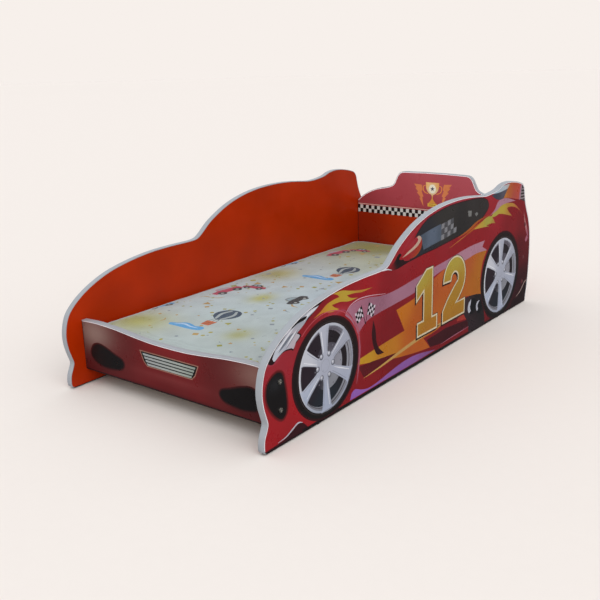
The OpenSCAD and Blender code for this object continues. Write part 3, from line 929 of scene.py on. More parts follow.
def nose_art(inks):
    """Bumper, headlamp, fog lamp and lip."""
    red, deep, soot, blush, silver = inks.red, inks.deep, inks.soot, inks.blush, inks.silver
    fog_lamp = smooth(
        [
            (22, 172), (43, 188), (62, 192), (78, 184), (86, 157), (91, 128), (93, 92), (87, 75), (74, 67),
            (57, 75), (39, 93), (25, 114), (16, 142),
        ]
    )
    return [
        ink_layer(
            misted(even(mixed(red, blush, 0.45)), (100, 235, 40, 14, red, 0.6)),
            smooth([
                (14, 222), (43, 213), (62, 217), (84, 231), (104, 240), (120, 232), (112, 244), (84, 240),
                (60, 233), (34, 230),
            ]),
        ),
        ink_layer(
            mixed(soot, deep, 0.3),
            cornered(
                [(24, 226), (36, 218), (48, 217), (60, 226), (90, 235)],
                [(116, 232), (122, 228)],
                [(132, 242), (156, 258)],
                [(142, 268), (172, 284), (216, 306), (256, 324)],
                [(470, 344), (520, 352), (250, 350), (150, 312)],
                [(70, 270), (40, 250)],
            ),
        ),
        ink_layer(
            field(
                (48, 228, "#B9BDC8"), (90, 252, "#A4A8B4"), (128, 240, "#B2A4AC"), (146, 262, "#B4ACB4"),
                (150, 290, "#9298A4"), (222, 308, "#B9BBC4"), reach=20,
            ),
            cornered(
                [(44, 231), (50, 222), (70, 231), (92, 238)],
                [(117, 236), (124, 232)],
                [(134, 246), (150, 258)],
                [(138, 267), (166, 281), (184, 294), (214, 306)],
                [(230, 314)],
                [(200, 312), (172, 306), (136, 291), (106, 281), (80, 263), (58, 250)],
            ),
        ),
        ink_layer(
            mixed(silver, "#FFFFFF", 0.4),
            cornered([(58, 244), (86, 262), (112, 278)], [(132, 286), (104, 268), (78, 250)]),
            cornered([(168, 290), (196, 302), (224, 312)], [(196, 308), (172, 300)]),
            cornered([(96, 244), (124, 262)], [(140, 276), (116, 264)]),
        ),
        ink_layer(
            "#6C717C",
            cornered([(66, 238), (96, 252), (126, 272)], [(112, 270), (84, 254)]),
            ribbon([(96, 240), (118, 256), (146, 276)], [1, 2.4, 1]),
        ),
        ink_layer(
            soot,
            cornered([(116, 282), (142, 290), (176, 294)], [(180, 300), (160, 300), (134, 294)]),
            cornered(
                [(120, 288), (160, 304), (216, 319), (250, 328)],
                [(470, 344), (300, 341), (238, 334), (176, 318)],
            ),
        ),
        *(ink_layer(mixed(red, soot, share), grown(fog_lamp, by)) for by, share in ((6, 0.4), (3, 0.7))),
        ink_layer(misted(even(soot), (52, 165, 26, 16, "#2E3034", 0.5)), grown(fog_lamp, -1)),
        ink_layer(
            mixed(deep, soot, 0.3),
            cornered(
                [(-5, -5), (0, 4), (56, 9), (85, 13), (112, 23), (140, 32)],
                [(158, 24), (172, 10), (182, -5)],
            ),
        ),
        ink_layer(
            mixed(silver, "#FFFFFF", 0.1),
            ribbon([(54, 12), (84, 15), (110, 25), (134, 34), (152, 29)], [1, 3, 4.5, 4.5, 1]),
        ),
    ]


def flank_art(inks):
    """The reflection band along the flank, with its two flags."""
    red, deep, blush, mauve = inks.red, inks.deep, inks.blush, inks.mauve
    band = [
        ink_layer(
            field(
                (350, 262, mixed(mauve, blush, 0.15)),
                (420, 215, mixed(mauve, blush, 0.5)),
                (480, 250, mixed(mauve, deep, 0.35)),
                (620, 245, mixed(mauve, deep, 0.12)),
                (820, 270, mixed(mauve, deep, 0.1)),
                (1080, 290, mixed(mauve, inks.cream, 0.05)),
            ),
            cornered(
                [
                    (342, 258), (362, 274), (398, 282), (456, 279), (506, 270), (555, 266), (604, 267),
                    (656, 271), (756, 280), (906, 291), (1056, 303),
                ],
                [(1168, 303)],
                [(1151, 284)],
                [(1188, 266), (1106, 270), (1006, 262), (906, 265), (856, 262)],
                [(775, 248), (698, 233), (604, 227), (506, 222), (456, 217), (430, 208)],
                [(402, 190), (388, 214), (368, 238)],
            ),
        ),
        ink_layer(
            mixed(blush, red, 0.3), ribbon([(286, 268), (330, 276), (372, 246), (398, 196)], [1, 3.5, 3, 1])
        ),
        ink_layer(
            mixed(mauve, "#F0D8E0", 0.3),
            ribbon([(344, 262), (366, 278), (402, 286), (456, 283), (540, 269)], [1, 2.5, 2.5, 1]),
        ),
    ]
    return band + flag_print(430, 232, -1, inks) + flag_print(446, 232, 1, inks)


def flash_art(inks):
    """The orange flash, the dark wedges of the sill, and the door's shadow over both."""
    red, deep, soot, mauve, gold = inks.red, inks.deep, inks.soot, inks.mauve, inks.gold
    return [
        ink_layer(
            field(
                (420, 108, "#B98A20"), (560, 100, "#B0701C"), (640, 190, "#B86A18"), (700, 130, "#A8511A"),
                (780, 210, "#A04A22"), (860, 110, "#A9591C"), (900, 230, "#AF5420"), (1040, 230, "#A64E26"),
                (1080, 180, "#A96018"), (1150, 200, "#A5641C"), (1000, 130, "#A0581C"),
                (700, 70, "#A9541E"),
            ),
            cornered(
                [(599, 206), (646, 210), (700, 216), (780, 238), (870, 262)],
                [(906, 265), (1006, 262), (1106, 270)],
                [(1186, 266)],
                [(1158, 232), (1146, 190), (1146, 150)],
                [(1153, 120)],
                [(1056, 136), (1010, 138)],
                [(1018, 92)],
                [(900, 88), (830, 76)],
                [(760, 74)],
                [(802, 32), (700, 44), (558, 68), (470, 88)],
                [(400, 102)],
                [(404, 116), (520, 124)],
                [(646, 131)],
            ),
        ),
        ink_layer(mixed(deep, red, 0.2), straight((402, 95), (470, 90), (600, 76), (560, 66), (430, 56))),
        ink_layer(
            mixed(deep, soot, 0.35),
            cornered(
                [(477, 209), (470, 167), (480, 128), (498, 102)],
                [(534, 97), (508, 118), (494, 141), (489, 178)],
            ),
        ),
        ink_layer(
            mixed(mauve, red, 0.55), ribbon([(403, 205), (410, 150), (404, 96), (394, 50)], [2, 9, 7, 2])
        ),
        ink_layer(
            mixed(deep, soot, 0.1),
            straight((781, 62), (906, 67), (1057, 54), (1074, 29), (885, 22), (802, 33)),
        ),
        ink_layer(
            field(
                (450, 62, "#B7904A"), (700, 82, "#B08A50"), (900, 90, "#A8864C"),
                (1010, 92, mixed(gold, red, 0.4)),
            ),
            ribbon(
                [(428, 54), (520, 61), (640, 74), (760, 84), (900, 90), (1026, 84)], [1, 6, 11, 12, 10, 1]
            ),
        ),
        ink_layer(mixed(deep, soot, 0.3), straight((768, 86), (800, 99), (864, 88), (790, 82))),
        ink_layer(
            mixed(red, "#C06040", 0.25),
            cornered([(1000, 84), (1060, 70), (1082, 46)], [(1040, 60), (980, 70)]),
        ),
    ]


def sill_art(inks):
    """The sill: a violet reflection and a thin light line over the black floor edge."""
    soot, blush, mauve = inks.soot, inks.blush, inks.mauve
    return [
        ink_layer(
            field((380, 26, "#8A5AA8"), (640, 26, "#84569A"), (800, 22, "#7C4E84"), reach=60),
            cornered(
                [
                    (362, 12), (370, 30), (386, 36), (417, 25), (454, 17), (506, 20), (580, 30), (650, 36),
                    (720, 34),
                ],
                [(838, 14), (724, 12), (560, 12)],
            ),
        ),
        ink_layer(mixed(mauve, blush, 0.5), ribbon([(872, 22), (970, 25), (1092, 27)], [1, 3.4, 1])),
        ink_layer(soot, straight((150, -20), (1600, -20), (1600, 6), (1090, 9), (600, 10), (150, 9))),
    ]


def exhaust_art(inks):
    """The exhaust bay ahead of the rear wheel."""
    silver = inks.silver
    return [
        ink_layer(
            field((1030, 110, "#37282C"), (1140, 90, "#241F21"), (1080, 40, "#2F2428"), reach=30),
            cornered(
                [(1020, 134), (1070, 133), (1126, 126)],
                [(1170, 116), (1180, 60), (1190, -10)],
                [(1066, -10), (1062, 40), (1036, 70), (1016, 100)],
            ),
        ),
        ink_layer("#17171A", oval(1092, 92, 30, 27), oval(1146, 76, 24, 22)),
        ink_layer(
            mixed(silver, "#FFFFFF", 0.1),
            cornered(
                [(1080, 119), (1062, 108), (1057, 90), (1066, 74)], [(1080, 78), (1074, 94), (1078, 106)]
            ),
            cornered(
                [(1146, 100), (1126, 98), (1119, 84), (1127, 66)], [(1136, 72), (1130, 84), (1136, 92)]
            ),
        ),
    ]


def glass_art(inks):
    """The side glass, what shows through it, and the mirror."""
    red, deep, blush = inks.red, inks.deep, inks.blush
    soot, orange, silver = inks.soot, inks.orange, inks.silver
    glass = cornered(
        [
            (674, 336), (750, 341), (828, 344), (906, 349), (1006, 357), (1056, 363), (1106, 374),
            (1156, 392), (1186, 414), (1180, 432), (1149, 446), (1106, 452), (1036, 456), (906, 457),
            (828, 449), (770, 438), (720, 412), (690, 384),
        ],
    )
    return [
        ink_layer(
            mixed(red, blush, 0.25),
            ribbon(
                [
                    (600, 344), (650, 384), (712, 422), (800, 452), (900, 464), (1040, 463), (1180, 448),
                    (1232, 424),
                ],
                [1, 4, 5, 4, 3, 4, 5, 1],
            ),
        ),
        ink_layer(mixed(deep, soot, 0.35), grown(glass, 3)),
        ink_layer(
            field(
                (760, 360, "#2A2A30"), (900, 430, "#33302E"), (1080, 420, "#332E2D"), (1000, 380, "#2B2828")
            ),
            glass,
        ),
        ink_layer(
            field((740, 385, "#485260"), (800, 380, "#566172"), (860, 380, "#4C5664"), reach=20),
            straight((729, 398), (790, 406), (854, 412), (868, 380), (856, 361), (750, 352), (742, 372)),
        ),
        ink_layer(
            "#77777C",
            *(
                moved(straight((0, 0), (19, 2), (20, 18), (1, 16)), (858 + 20 * i, 360 + 17 * j + 2 * i))
                for i in range(5)
                for j in range(3)
                if (i + j) % 2 == 0 and i + j < 6
            ),
        ),
        ink_layer(
            "#4A4A4E",
            *(
                moved(straight((0, 0), (19, 2), (20, 18), (1, 16)), (858 + 20 * i, 360 + 17 * j + 2 * i))
                for i in range(4)
                for j in range(3)
                if (i + j) % 2 == 1
            ),
        ),
        ink_layer(
            "#6E6D6C",
            straight((1034, 424), (1062, 420), (1060, 402), (1040, 404)),
            straight((1084, 406), (1100, 410), (1110, 402), (1096, 396)),
        ),
        ink_layer(
            field(
                (560, 334, mixed(red, deep, 0.4)), (606, 352, soot), (630, 340, mixed(deep, soot, 0.6)),
                reach=14,
            ),
            smooth([
                (556, 330), (590, 352), (612, 368), (628, 360), (640, 342), (676, 336), (640, 330),
                (600, 326),
            ]),
        ),
        ink_layer(
            field(
                (640, 350, red),
                (700, 388, mixed(red, blush, 0.2)),
                (720, 350, mixed(red, orange, 0.3)),
                reach=20,
            ),
            smooth([
                (612, 352), (650, 374), (690, 393), (716, 400), (732, 396), (741, 382), (736, 361),
                (712, 345), (682, 340), (650, 345),
            ]),
        ),
        ink_layer(
            mixed(inks.cream, blush, 0.4),
            cornered(
                [(628, 352), (677, 360), (722, 374), (737, 390), (722, 400)],
                [(711, 397), (718, 388), (694, 374), (660, 364)],
            ),
        ),
        ink_layer(mixed(orange, red, 0.3), ribbon([(690, 341), (720, 350), (738, 370)], [1, 3, 1])),
        ink_layer(
            mixed(silver, "#FFFFFF", 0.3),
            cornered([(500, 341), (545, 339), (575, 328)], [(552, 334), (528, 336)]),
        ),
    ]


def flame_art(inks):
    """Flames on the bonnet and along the waistline."""
    red, mauve, orange = inks.red, inks.mauve, inks.orange
    flame = field(
        (230, 290, "#B4762A"), (290, 300, "#B08A28"), (340, 322, "#AC9030"), (440, 306, "#A8742C"), reach=25
    )
    return [
        ink_layer(
            flame,
            cornered(
                [(206, 285), (236, 296), (262, 308), (292, 313)],
                [(318, 314), (308, 322)],
                [(288, 329), (330, 328), (366, 319), (410, 310)],
                [(474, 303), (420, 302), (384, 308)],
                [(352, 310), (364, 301)],
                [(404, 291), (360, 292), (322, 300)],
                [(284, 301), (294, 293)],
                [(316, 282), (280, 283), (246, 290)],
            ),
        ),
        ink_layer("#B4702C", ribbon([(914, 325), (1000, 341), (1116, 364)], [1, 3, 4])),
        ink_layer(
            mixed(orange, red, 0.15),
            cornered([(1000, 341), (1054, 349), (1106, 360)], [(1146, 372), (1106, 367), (1054, 355)]),
            cornered([(962, 347), (1040, 362), (1110, 380)], [(1214, 386), (1130, 378), (1050, 356)]),
        ),
        ink_layer(
            field((1110, 366, "#B08E34"), (1200, 372, "#A09A40"), (1250, 352, "#A06A34"), reach=30),
            cornered(
                [(1080, 355), (1130, 368), (1180, 380), (1214, 376)],
                [(1246, 348), (1216, 353), (1176, 352)],
                [(1200, 346), (1150, 350)],
            ),
        ),
        ink_layer(
            field(
                (1230, 382, "#A49A44"), (1300, 400, "#AC9434"), (1360, 376, "#A87830"),
                (1440, 360, "#A85C34"), reach=30,
            ),
            cornered(
                [(1206, 374), (1250, 396), (1300, 404), (1350, 402), (1400, 392)],
                [(1484, 340), (1440, 366), (1396, 382), (1352, 388)],
                [(1338, 386), (1352, 372)],
                [(1382, 352), (1340, 362), (1300, 372)],
                [(1270, 376), (1240, 372)],
            ),
        ),
        ink_layer(
            mixed(mauve, inks.cream, 0.05),
            cornered(
                [(1196, 380), (1236, 396), (1262, 420), (1302, 425), (1350, 418)],
                [(1408, 402), (1350, 404), (1290, 402), (1250, 390)],
            ),
        ),
    ]


def tail_art(inks):
    """The spoiler and the tail."""
    deep, soot, blush, mauve = inks.deep, inks.soot, inks.blush, inks.mauve
    return [
        ink_layer(
            field((1230, 448, "#3A3E4C"), (1330, 446, "#54505C"), reach=30),
            cornered(
                [(1206, 449), (1260, 452), (1320, 458)],
                [(1356, 444), (1326, 436), (1304, 425)],
                [(1276, 424), (1246, 430)],
            ),
        ),
        ink_layer(
            field((1220, 455, "#9DB2C0"), (1300, 462, "#A8B4BE"), (1360, 464, "#B0A49C"), reach=25),
            cornered(
                [(1196, 454), (1240, 464), (1280, 468), (1368, 466)],
                [(1362, 458), (1316, 453), (1260, 450)],
            ),
        ),
        ink_layer(
            field(
                (1350, 440, "#A8562C"), (1400, 470, "#A84628"), (1420, 430, "#B04838"),
                (1400, 410, "#A24540"), (1320, 430, "#B4702C"), reach=24,
            ),
            cornered(
                [(1366, 482)],
                [(1418, 480), (1452, 464)],
                [(1444, 402), (1400, 410), (1352, 420)],
                [(1306, 426)],
            ),
        ),
        ink_layer(
            mixed(mauve, blush, 0.35),
            cornered([(1450, 462), (1442, 436), (1438, 400)], [(1450, 402), (1452, 430), (1462, 456)]),
        ),
        ink_layer(
            field((1470, 440, "#2C2628"), (1480, 400, "#463A3C"), reach=16),
            cornered([(1462, 456), (1482, 448), (1494, 420), (1502, 388)], [(1450, 400), (1452, 430)]),
        ),
        ink_layer(
            "#A2969A",
            *(
                ribbon([(1454, 404 + 11 * i), (1474, 402 + 11 * i), (1499 - 3 * i, 403 + 11 * i)], [3, 3])
                for i in range(4)
            ),
            ribbon([(1451, 402), (1453, 430), (1463, 456)], [3, 3]),
        ),
        ink_layer(
            field(
                (1510, 300, mixed(blush, inks.cream, 0.2)), (1530, 250, mixed(blush, mauve, 0.4)), reach=20
            ),
            cornered([(1488, 352), (1506, 318), (1524, 290)], [(1544, 246), (1526, 262), (1504, 300)]),
            cornered([(1512, 240), (1528, 256)], [(1540, 244), (1524, 232)]),
        ),
        ink_layer(
            mixed(deep, soot, 0.75),
            cornered(
                [(1420, 28), (1470, 34), (1510, 56), (1552, 80)], [(1580, 78)], [(1580, -10)], [(1400, -10)]
            ),
        ),
        ink_layer(
            mixed(inks.cream, mauve, 0.5),
            ribbon([(1456, 36), (1490, 47), (1512, 62), (1532, 77), (1556, 80)], [1, 3, 3.4, 3.4, 1]),
        ),
    ]


def side_print(inks, mirrored=False):
    """All that is printed on a side panel, the lowest layer first."""
    whole = straight((-50, -50), (1700, -50), (1700, 600), (-50, 600))
    layers = [ink_layer(bodywork_paint(inks), whole)]
    for art in (nose_art, flank_art, flash_art, sill_art, exhaust_art, glass_art, flame_art, tail_art):
        layers += art(inks)
    # The front wheel's arch catches a thin light.
    arch = oval(259, 137, 160, 152, start=20, sweep=110, count=24)
    layers.append(
        ink_layer(mixed(inks.red, "#E08090", 0.3), np.concatenate([arch, arch[::-1] * 0.985 + (3.9, 2)]))
    )
    layers += wheel_print(
        (259, 139), 118, (258.5, 139, 140, 131), (252, 148), (92, 32, -28, -88, -148, 152), inks
    )
    layers += wheel_print(
        (1308, 151), 133, (1308, 151, 153, 152), (1303, 164), (90, 34, -24, -84, -144, 148), inks
    )
    layers += numeral_print(inks, mirrored)
    return layers


# --- Artwork: head and foot boards ---


def head_print(inks):
    """Crimson upper field with a cup between two flames, a chequered band, and plain red below it."""
    upper = field(
        (-330, 335, "#7C3237"),
        (-200, 400, "#8C3A41"),
        (0, 440, "#95444B"),
        (150, 440, "#95444C"),
        (0, 335, "#85353B"),
        (300, 350, "#7E3338"),
        reach=90,
    )
    lower = field(
        (-330, 200, "#751D08"), (-100, 230, "#8A2609"), (150, 230, "#90280A"), (330, 120, "#7E2008")
    )
    square = 13.7
    cells = [
        straight((x, z), (x + square, z), (x + square, z + 15), (x, z + 15))
        for j, z in enumerate((286, 301))
        for i, x in enumerate(np.arange(-26, 27) * square)
        if (i + j) % 2
    ]
    flame = straight(
        (-20, 42), (14, 40), (19, 18), (14, 16), (23, -6), (18, -8), (24, -46), (5, -13), (10, -10),
        (-7, 9), (-1, 12), (-14, 26), (-8, 28),
    )
    cup = np.concatenate(
        [
            smooth([(-29, 93), (-26, 66), (-14, 50), (-4, 44), (-3, 28), (-16, 12)], closed=False),
            smooth([(16, 12), (3, 28), (4, 44), (14, 50), (26, 66), (29, 93)], closed=False),
        ]
    ) + (-6, 336)
    star = [
        (
            math.sin(math.pi * i / 5) * (4 if i % 2 else 10) - 6,
            math.cos(math.pi * i / 5) * (4 if i % 2 else 10) + 404,
        )
        for i in range(10)
    ]
    return [
        ink_layer(upper, straight((-400, 316), (400, 316), (400, 600), (-400, 600))),
        ink_layer(lower, straight((-400, 0), (400, 0), (400, 286), (-400, 286))),
        ink_layer(
            mixed(inks.mauve, inks.cream, 0.55),
            straight((-400, 319), (400, 319), (400, 321.5), (-400, 321.5)),
        ),
        ink_layer("#A9ABA8", straight((-400, 286), (400, 286), (400, 316), (-400, 316))),
        ink_layer(mixed(inks.soot, "#000000", 0.3), *cells),
        ink_layer("#B06A42", moved(flame, (-68, 378)), moved(flame, (58, 384), flip=True)),
        ink_layer(
            "#B8763C",
            ribbon([(-34, 418), (-46, 412), (-42, 392), (-24, 384)], [2, 4, 4, 3]),
            ribbon([(22, 418), (34, 412), (30, 392), (12, 384)], [2, 4, 4, 3]),
        ),
        ink_layer(
            field(
                (-30, 420, "#C09A5C"), (-6, 405, "#BFB292"), (20, 420, "#BC8848"), (-6, 355, "#B07C34"),
                reach=12,
            ),
            cup,
        ),
        ink_layer("#B4923C", straight((-26, 334), (14, 334), (14, 347), (-26, 347))),
        ink_layer("#8C6424", straight((-20, 339), (8, 339), (8, 342), (-20, 342))),
        ink_layer("#C9C6B4", oval(-6, 404, 15, 17, count=28)),
        ink_layer("#3E4250", straight(*star)),
    ]


def foot_print(inks):
    """A car's front: pale lamp patches at the corners, dark ducts and a barred grille between them."""
    body = field(
        (0, 190, "#7E2224"),
        (0, 150, "#701C1F"),
        (0, 60, "#621A1D"),
        (-200, 170, "#5E1F20"),
        (200, 170, "#5E1F20"),
        (-320, 60, "#4C191B"),
        (320, 60, "#4C191B"),
    )
    body = misted(
        body,
        (-315, 165, 80, 46, "#8E7870", 0.88),
        (318, 165, 72, 42, "#8E6A62", 0.85),
        (0, 88, 130, 10, "#8A4040", 0.35),
    )
    duct = smooth(
        [
            (322, 96), (312, 121), (290, 131), (258, 126), (220, 113), (190, 103), (184, 92), (194, 79),
            (230, 71), (270, 70), (306, 79),
        ]
    )
    mirrored = duct * (-1, 1)
    grille = straight((-108, 149), (108, 149), (96, 122), (84, 111), (-84, 111), (-96, 122))
    bars = [
        straight(
            (5 * i - 101, 145 - 9 * i), (101 - 5 * i, 145 - 9 * i), (98 - 5 * i, 139 - 9 * i),
            (5 * i - 98, 139 - 9 * i),
        )
        for i in range(4)
    ]
    return [
        ink_layer(body, straight((-400, 0), (400, 0), (400, 300), (-400, 300))),
        ink_layer(mixed("#541B1D", inks.soot, 0.4), grown(duct, 6), grown(mirrored, 6)),
        ink_layer(mixed("#541B1D", inks.soot, 0.75), grown(duct, 3), grown(mirrored, 3)),
        ink_layer(inks.soot, duct, mirrored),
        ink_layer(mixed("#7E2A2C", inks.cream, 0.25), grown(grille, 3)),
        ink_layer(inks.soot, grille),
        ink_layer(field((-80, 130, "#9A9FA0"), (0, 140, "#A8ABA8"), (80, 125, "#8E9890")), *bars),
    ]


# --- Artwork: mattress cloth ---


def toy_car(at, turn, size, colours):
    """A plain toy car with round wheels."""
    body, roof, dark = colours
    shapes = [
        (
            body,
            cornered([(-46, 0), (-48, 18), (-30, 24), (-22, 26)], [(26, 26), (44, 22), (48, 8), (46, 0)]),
        ),
        (roof, cornered([(-24, 26), (-14, 46), (12, 46), (26, 26)])),
        (dark, oval(-26, 0, 13, count=20)),
        (dark, oval(26, 0, 13, count=20)),
        ("#A9ADA8", oval(-26, 0, 5, count=12)),
        ("#A9ADA8", oval(26, 0, 5, count=12)),
        ("#8FA3AA", cornered([(-15, 28), (-9, 41), (-2, 41), (-2, 28)])),
        ("#8FA3AA", cornered([(3, 28), (3, 41), (10, 41), (17, 28)])),
    ]
    return [ink_layer(colour, moved(shape, at, turn, size)) for colour, shape in shapes]


def toy_balloon(at, turn, size, colours):
    """A striped hot-air balloon with its basket, over two round clouds."""
    dark, basket, cloud = colours
    envelope = cornered(
        [(-6, 40), (-30, 62), (-38, 88), (-26, 116), (0, 127), (26, 116), (38, 88), (30, 62), (6, 40)]
    )
    gores = [
        cornered(
            [(x - 3, 44), (2.4 * x - 5, 88), (x - 3, 118)], [(x + 3, 118), (2.4 * x + 5, 88), (x + 3, 44)]
        )
        for x in (-8, 8)
    ]
    ropes = [ribbon([(x, 46), (x * 1.5, 22)], [2, 2]) for x in (-8, 0, 8)]
    clouds = cornered(
        [
            (-86, -52), (-92, -38), (-70, -30), (-52, -18), (-30, -22), (-12, -30), (6, -26), (20, -34),
            (16, -52),
        ]
    )
    shapes = [
        (dark, *ropes),
        (cloud, clouds),
        (
            mixed(cloud, "#FFFFFF", 0.35),
            ribbon([(-74, -42), (-50, -30), (-24, -38), (4, -40)], [2, 9, 6, 2]),
        ),
        (mixed(dark, cloud, 0.12), envelope),
        ("#98A2A2", *gores),
        (basket, straight((-17, 22), (17, 22), (13, -10), (-13, -10))),
        (
            mixed(basket, dark, 0.6),
            straight((-16, 12), (16, 12), (15.6, 8), (-15.6, 8)),
            straight((-15, 1), (15, 1), (14.6, -2), (-14.6, -2)),
        ),
    ]
    return [
        ink_layer(colour, *(moved(s, at, turn, size) for s in outlines)) for colour, *outlines in shapes
    ]


def mattress_print(look):
    """Washed patches, toy cars, balloons and confetti on a pale ground, in a repeat of 640 mm."""
    dark, blue, orange, pink = "#12161A", "#4A93C6", "#B85A28", "#A62E4A"
    ground = field(
        (0, -600, mixed(look.cloth, "#8A928E", 0.3)),
        (200, 600, mixed(look.cloth, "#969C84", 0.6)),
        (-200, 0, mixed(look.cloth, "#9FB2C4", 0.25)),
        (150, 0, mixed(look.cloth, "#9FB4CC", 0.35)),
        (-250, -300, mixed(look.cloth, "#A9BCC4", 0.3)),
        (0, 420, mixed(look.cloth, "#A4AA8C", 0.6)),
        (-150, 640, "#8C9070"),
    )
    ground = misted(
        ground,
        (-270, -590, 105, 90, look.blotch, 0.95),
        (70, -520, 38, 46, mixed(look.blotch, "#8A8A50", 0.4), 0.8),
        (-112, -205, 36, 50, look.blotch, 0.95),
        (-270, 60, 80, 90, mixed(look.blotch, "#A09868", 0.4), 0.95),
        (-60, 420, 60, 46, look.blotch, 0.35),
        (-210, 590, 120, 110, "#86863E", 0.95),
        (120, 620, 150, 90, "#8C8C58", 0.7),
        (250, -200, 60, 70, look.blotch, 0.5),
        (260, 250, 80, 80, look.blotch, 0.5),
    )
    edge = straight((-400, -800), (400, -800), (400, 800), (-400, 800))
    layers = [ink_layer(ground, edge)]
    rng = random.Random(5)
    for y in (-640, 0, 640):
        layers += toy_balloon((-76, -495 + y), 4, 1.12, (dark, orange, blue))
        layers += toy_car((-255, -200 + y), 84, 1.25, (pink, mixed(pink, "#C0A8B0", 0.6), dark))
        layers += toy_car((-215, -130 + y), 12, 0.9, (mixed(pink, dark, 0.1), dark, dark))
        layers += toy_car((8, -160 + y), 96, 1.05, (dark, mixed(dark, "#A9B4B8", 0.5), dark))
        layers += toy_car((-330, -440 + y), 70, 1.0, (blue, dark, dark))
        layers += toy_balloon((225, -330 + y), -6, 1.0, (dark, orange, blue))
        layers += toy_car((250, -80 + y), 84, 1.1, (blue, orange, dark))
    bits = [[], [], [], []]
    for _ in range(360):
        x, y = rng.uniform(-325, 325), rng.uniform(-670, 670)
        kind = rng.randrange(4)
        size = rng.uniform(0.6, 1.35) if rng.random() < 0.85 else rng.uniform(1.6, 2.6)
        turn = rng.uniform(0, 360)
        shape = (
            oval(0, 0, 5, count=10),
            straight((-6, -4), (6, -4), (0, 7)),
            ribbon([(-9, 0), (0, 3), (9, 0)], [1, 3, 1]),
            straight((-4, -4), (4, -4), (4, 4), (-4, 4)),
        )[kind]
        bits[rng.randrange(4)].append(moved(shape, (x, y), turn, size))
    # Confetti lies under the toys, right on the ground.
    for colour, shapes in zip(("#8E9030", "#7C868E", "#A8863C", "#98923C"), bits):
        for shape in shapes:
            layers.insert(1, ink_layer(colour, shape))
    return layers


# --- Mattress ---


def rounded_plan(inset_by):
    """The mattress's plan, moved inwards, with round corners, as points from corner to corner."""
    low, high = COVER
    half_x, half_y = (high.x - low.x) / 2 / MM, (high.y - low.y) / 2 / MM
    points = []
    for sx, sy, start in ((1, 1, 0), (-1, 1, 90), (-1, -1, 180), (1, -1, 270)):
        x, y = sx * (half_x - COVER_CORNER), sy * (half_y - COVER_CORNER)
        points += oval(x, y, COVER_CORNER - inset_by, start=start, sweep=90, count=8).tolist()
    out = []
    for a, b in zip(points, [*points[1:], points[0]]):
        pieces = max(1, round(math.dist(a, b) / 11))
        out += [[a[k] + (b[k] - a[k]) * i / pieces for k in (0, 1)] for i in range(pieces)]
    return np.array(out)


def mattress_rows(look):
    """Rings of the padded edge from the top sheet's rim to the bottom sheet's: inset and height of each."""
    low, high = COVER[0].z / MM, COVER[1].z / MM
    high -= TOP_MARGIN
    r = look.corner_round / MM
    rows = []
    for turn in (18, 36, 54, 72, 90):
        a = math.radians(turn)
        rows.append((SIDE_MARGIN + r * (1 - math.sin(a)), high - r * (1 - math.cos(a))))
    side = np.linspace(high - r, low + r, 6)[1:-1]
    rows += [(SIDE_MARGIN, z) for z in side]
    for turn in (90, 72, 54, 36, 18, 0):
        a = math.radians(turn)
        rows.append((SIDE_MARGIN + r * (1 - math.sin(a)), low + r * (1 - math.cos(a))))
    return rows


def swollen(source, look, voxel=8 * MM):
    """How far the stuffing pushes the cover out: a cloth simulation of the closed shape.

    Gives a lookup from a point at rest to its shift."""
    soft = new_object("pad_trial", source.data.copy())
    remesh = soft.modifiers.new("Remesh", "REMESH")
    remesh.mode = "VOXEL"
    remesh.voxel_size = voxel
    apply_modifiers(soft)
    rest = np.array([v.co for v in soft.data.vertices])
    cloth = soft.modifiers.new("Cloth", "CLOTH")
    cloth.settings.use_pressure = True
    cloth.settings.uniform_pressure_force = 4
    cloth.settings.effector_weights.gravity = 0
    cloth.settings.tension_stiffness = 18
    cloth.settings.compression_stiffness = 18
    cloth.settings.quality = 4
    scene = bpy.context.scene
    for time in range(1, 21):
        scene.frame_set(time)
    bpy.context.view_layer.update()
    done = soft.evaluated_get(bpy.context.evaluated_depsgraph_get()).to_mesh()
    moved_to = np.array([v.co for v in done.vertices])
    scene.frame_set(1)
    shift = moved_to - rest
    bpy.data.objects.remove(soft)
    tree = kdtree.KDTree(len(rest))
    for i, p in enumerate(rest):
        tree.insert(p, i)
    tree.balance()
    cap = look.swell

    def shift_at(p):
        near = tree.find_n(p, 6)
        weights = [1 / (d + 0.002) for *_, d in near]
        mean = sum((Vector(shift[i]) * w for (_, i, _), w in zip(near, weights)), Vector()) / sum(weights)
        return mean * min(1, cap / max(mean.length, 1e-9))

    return shift_at


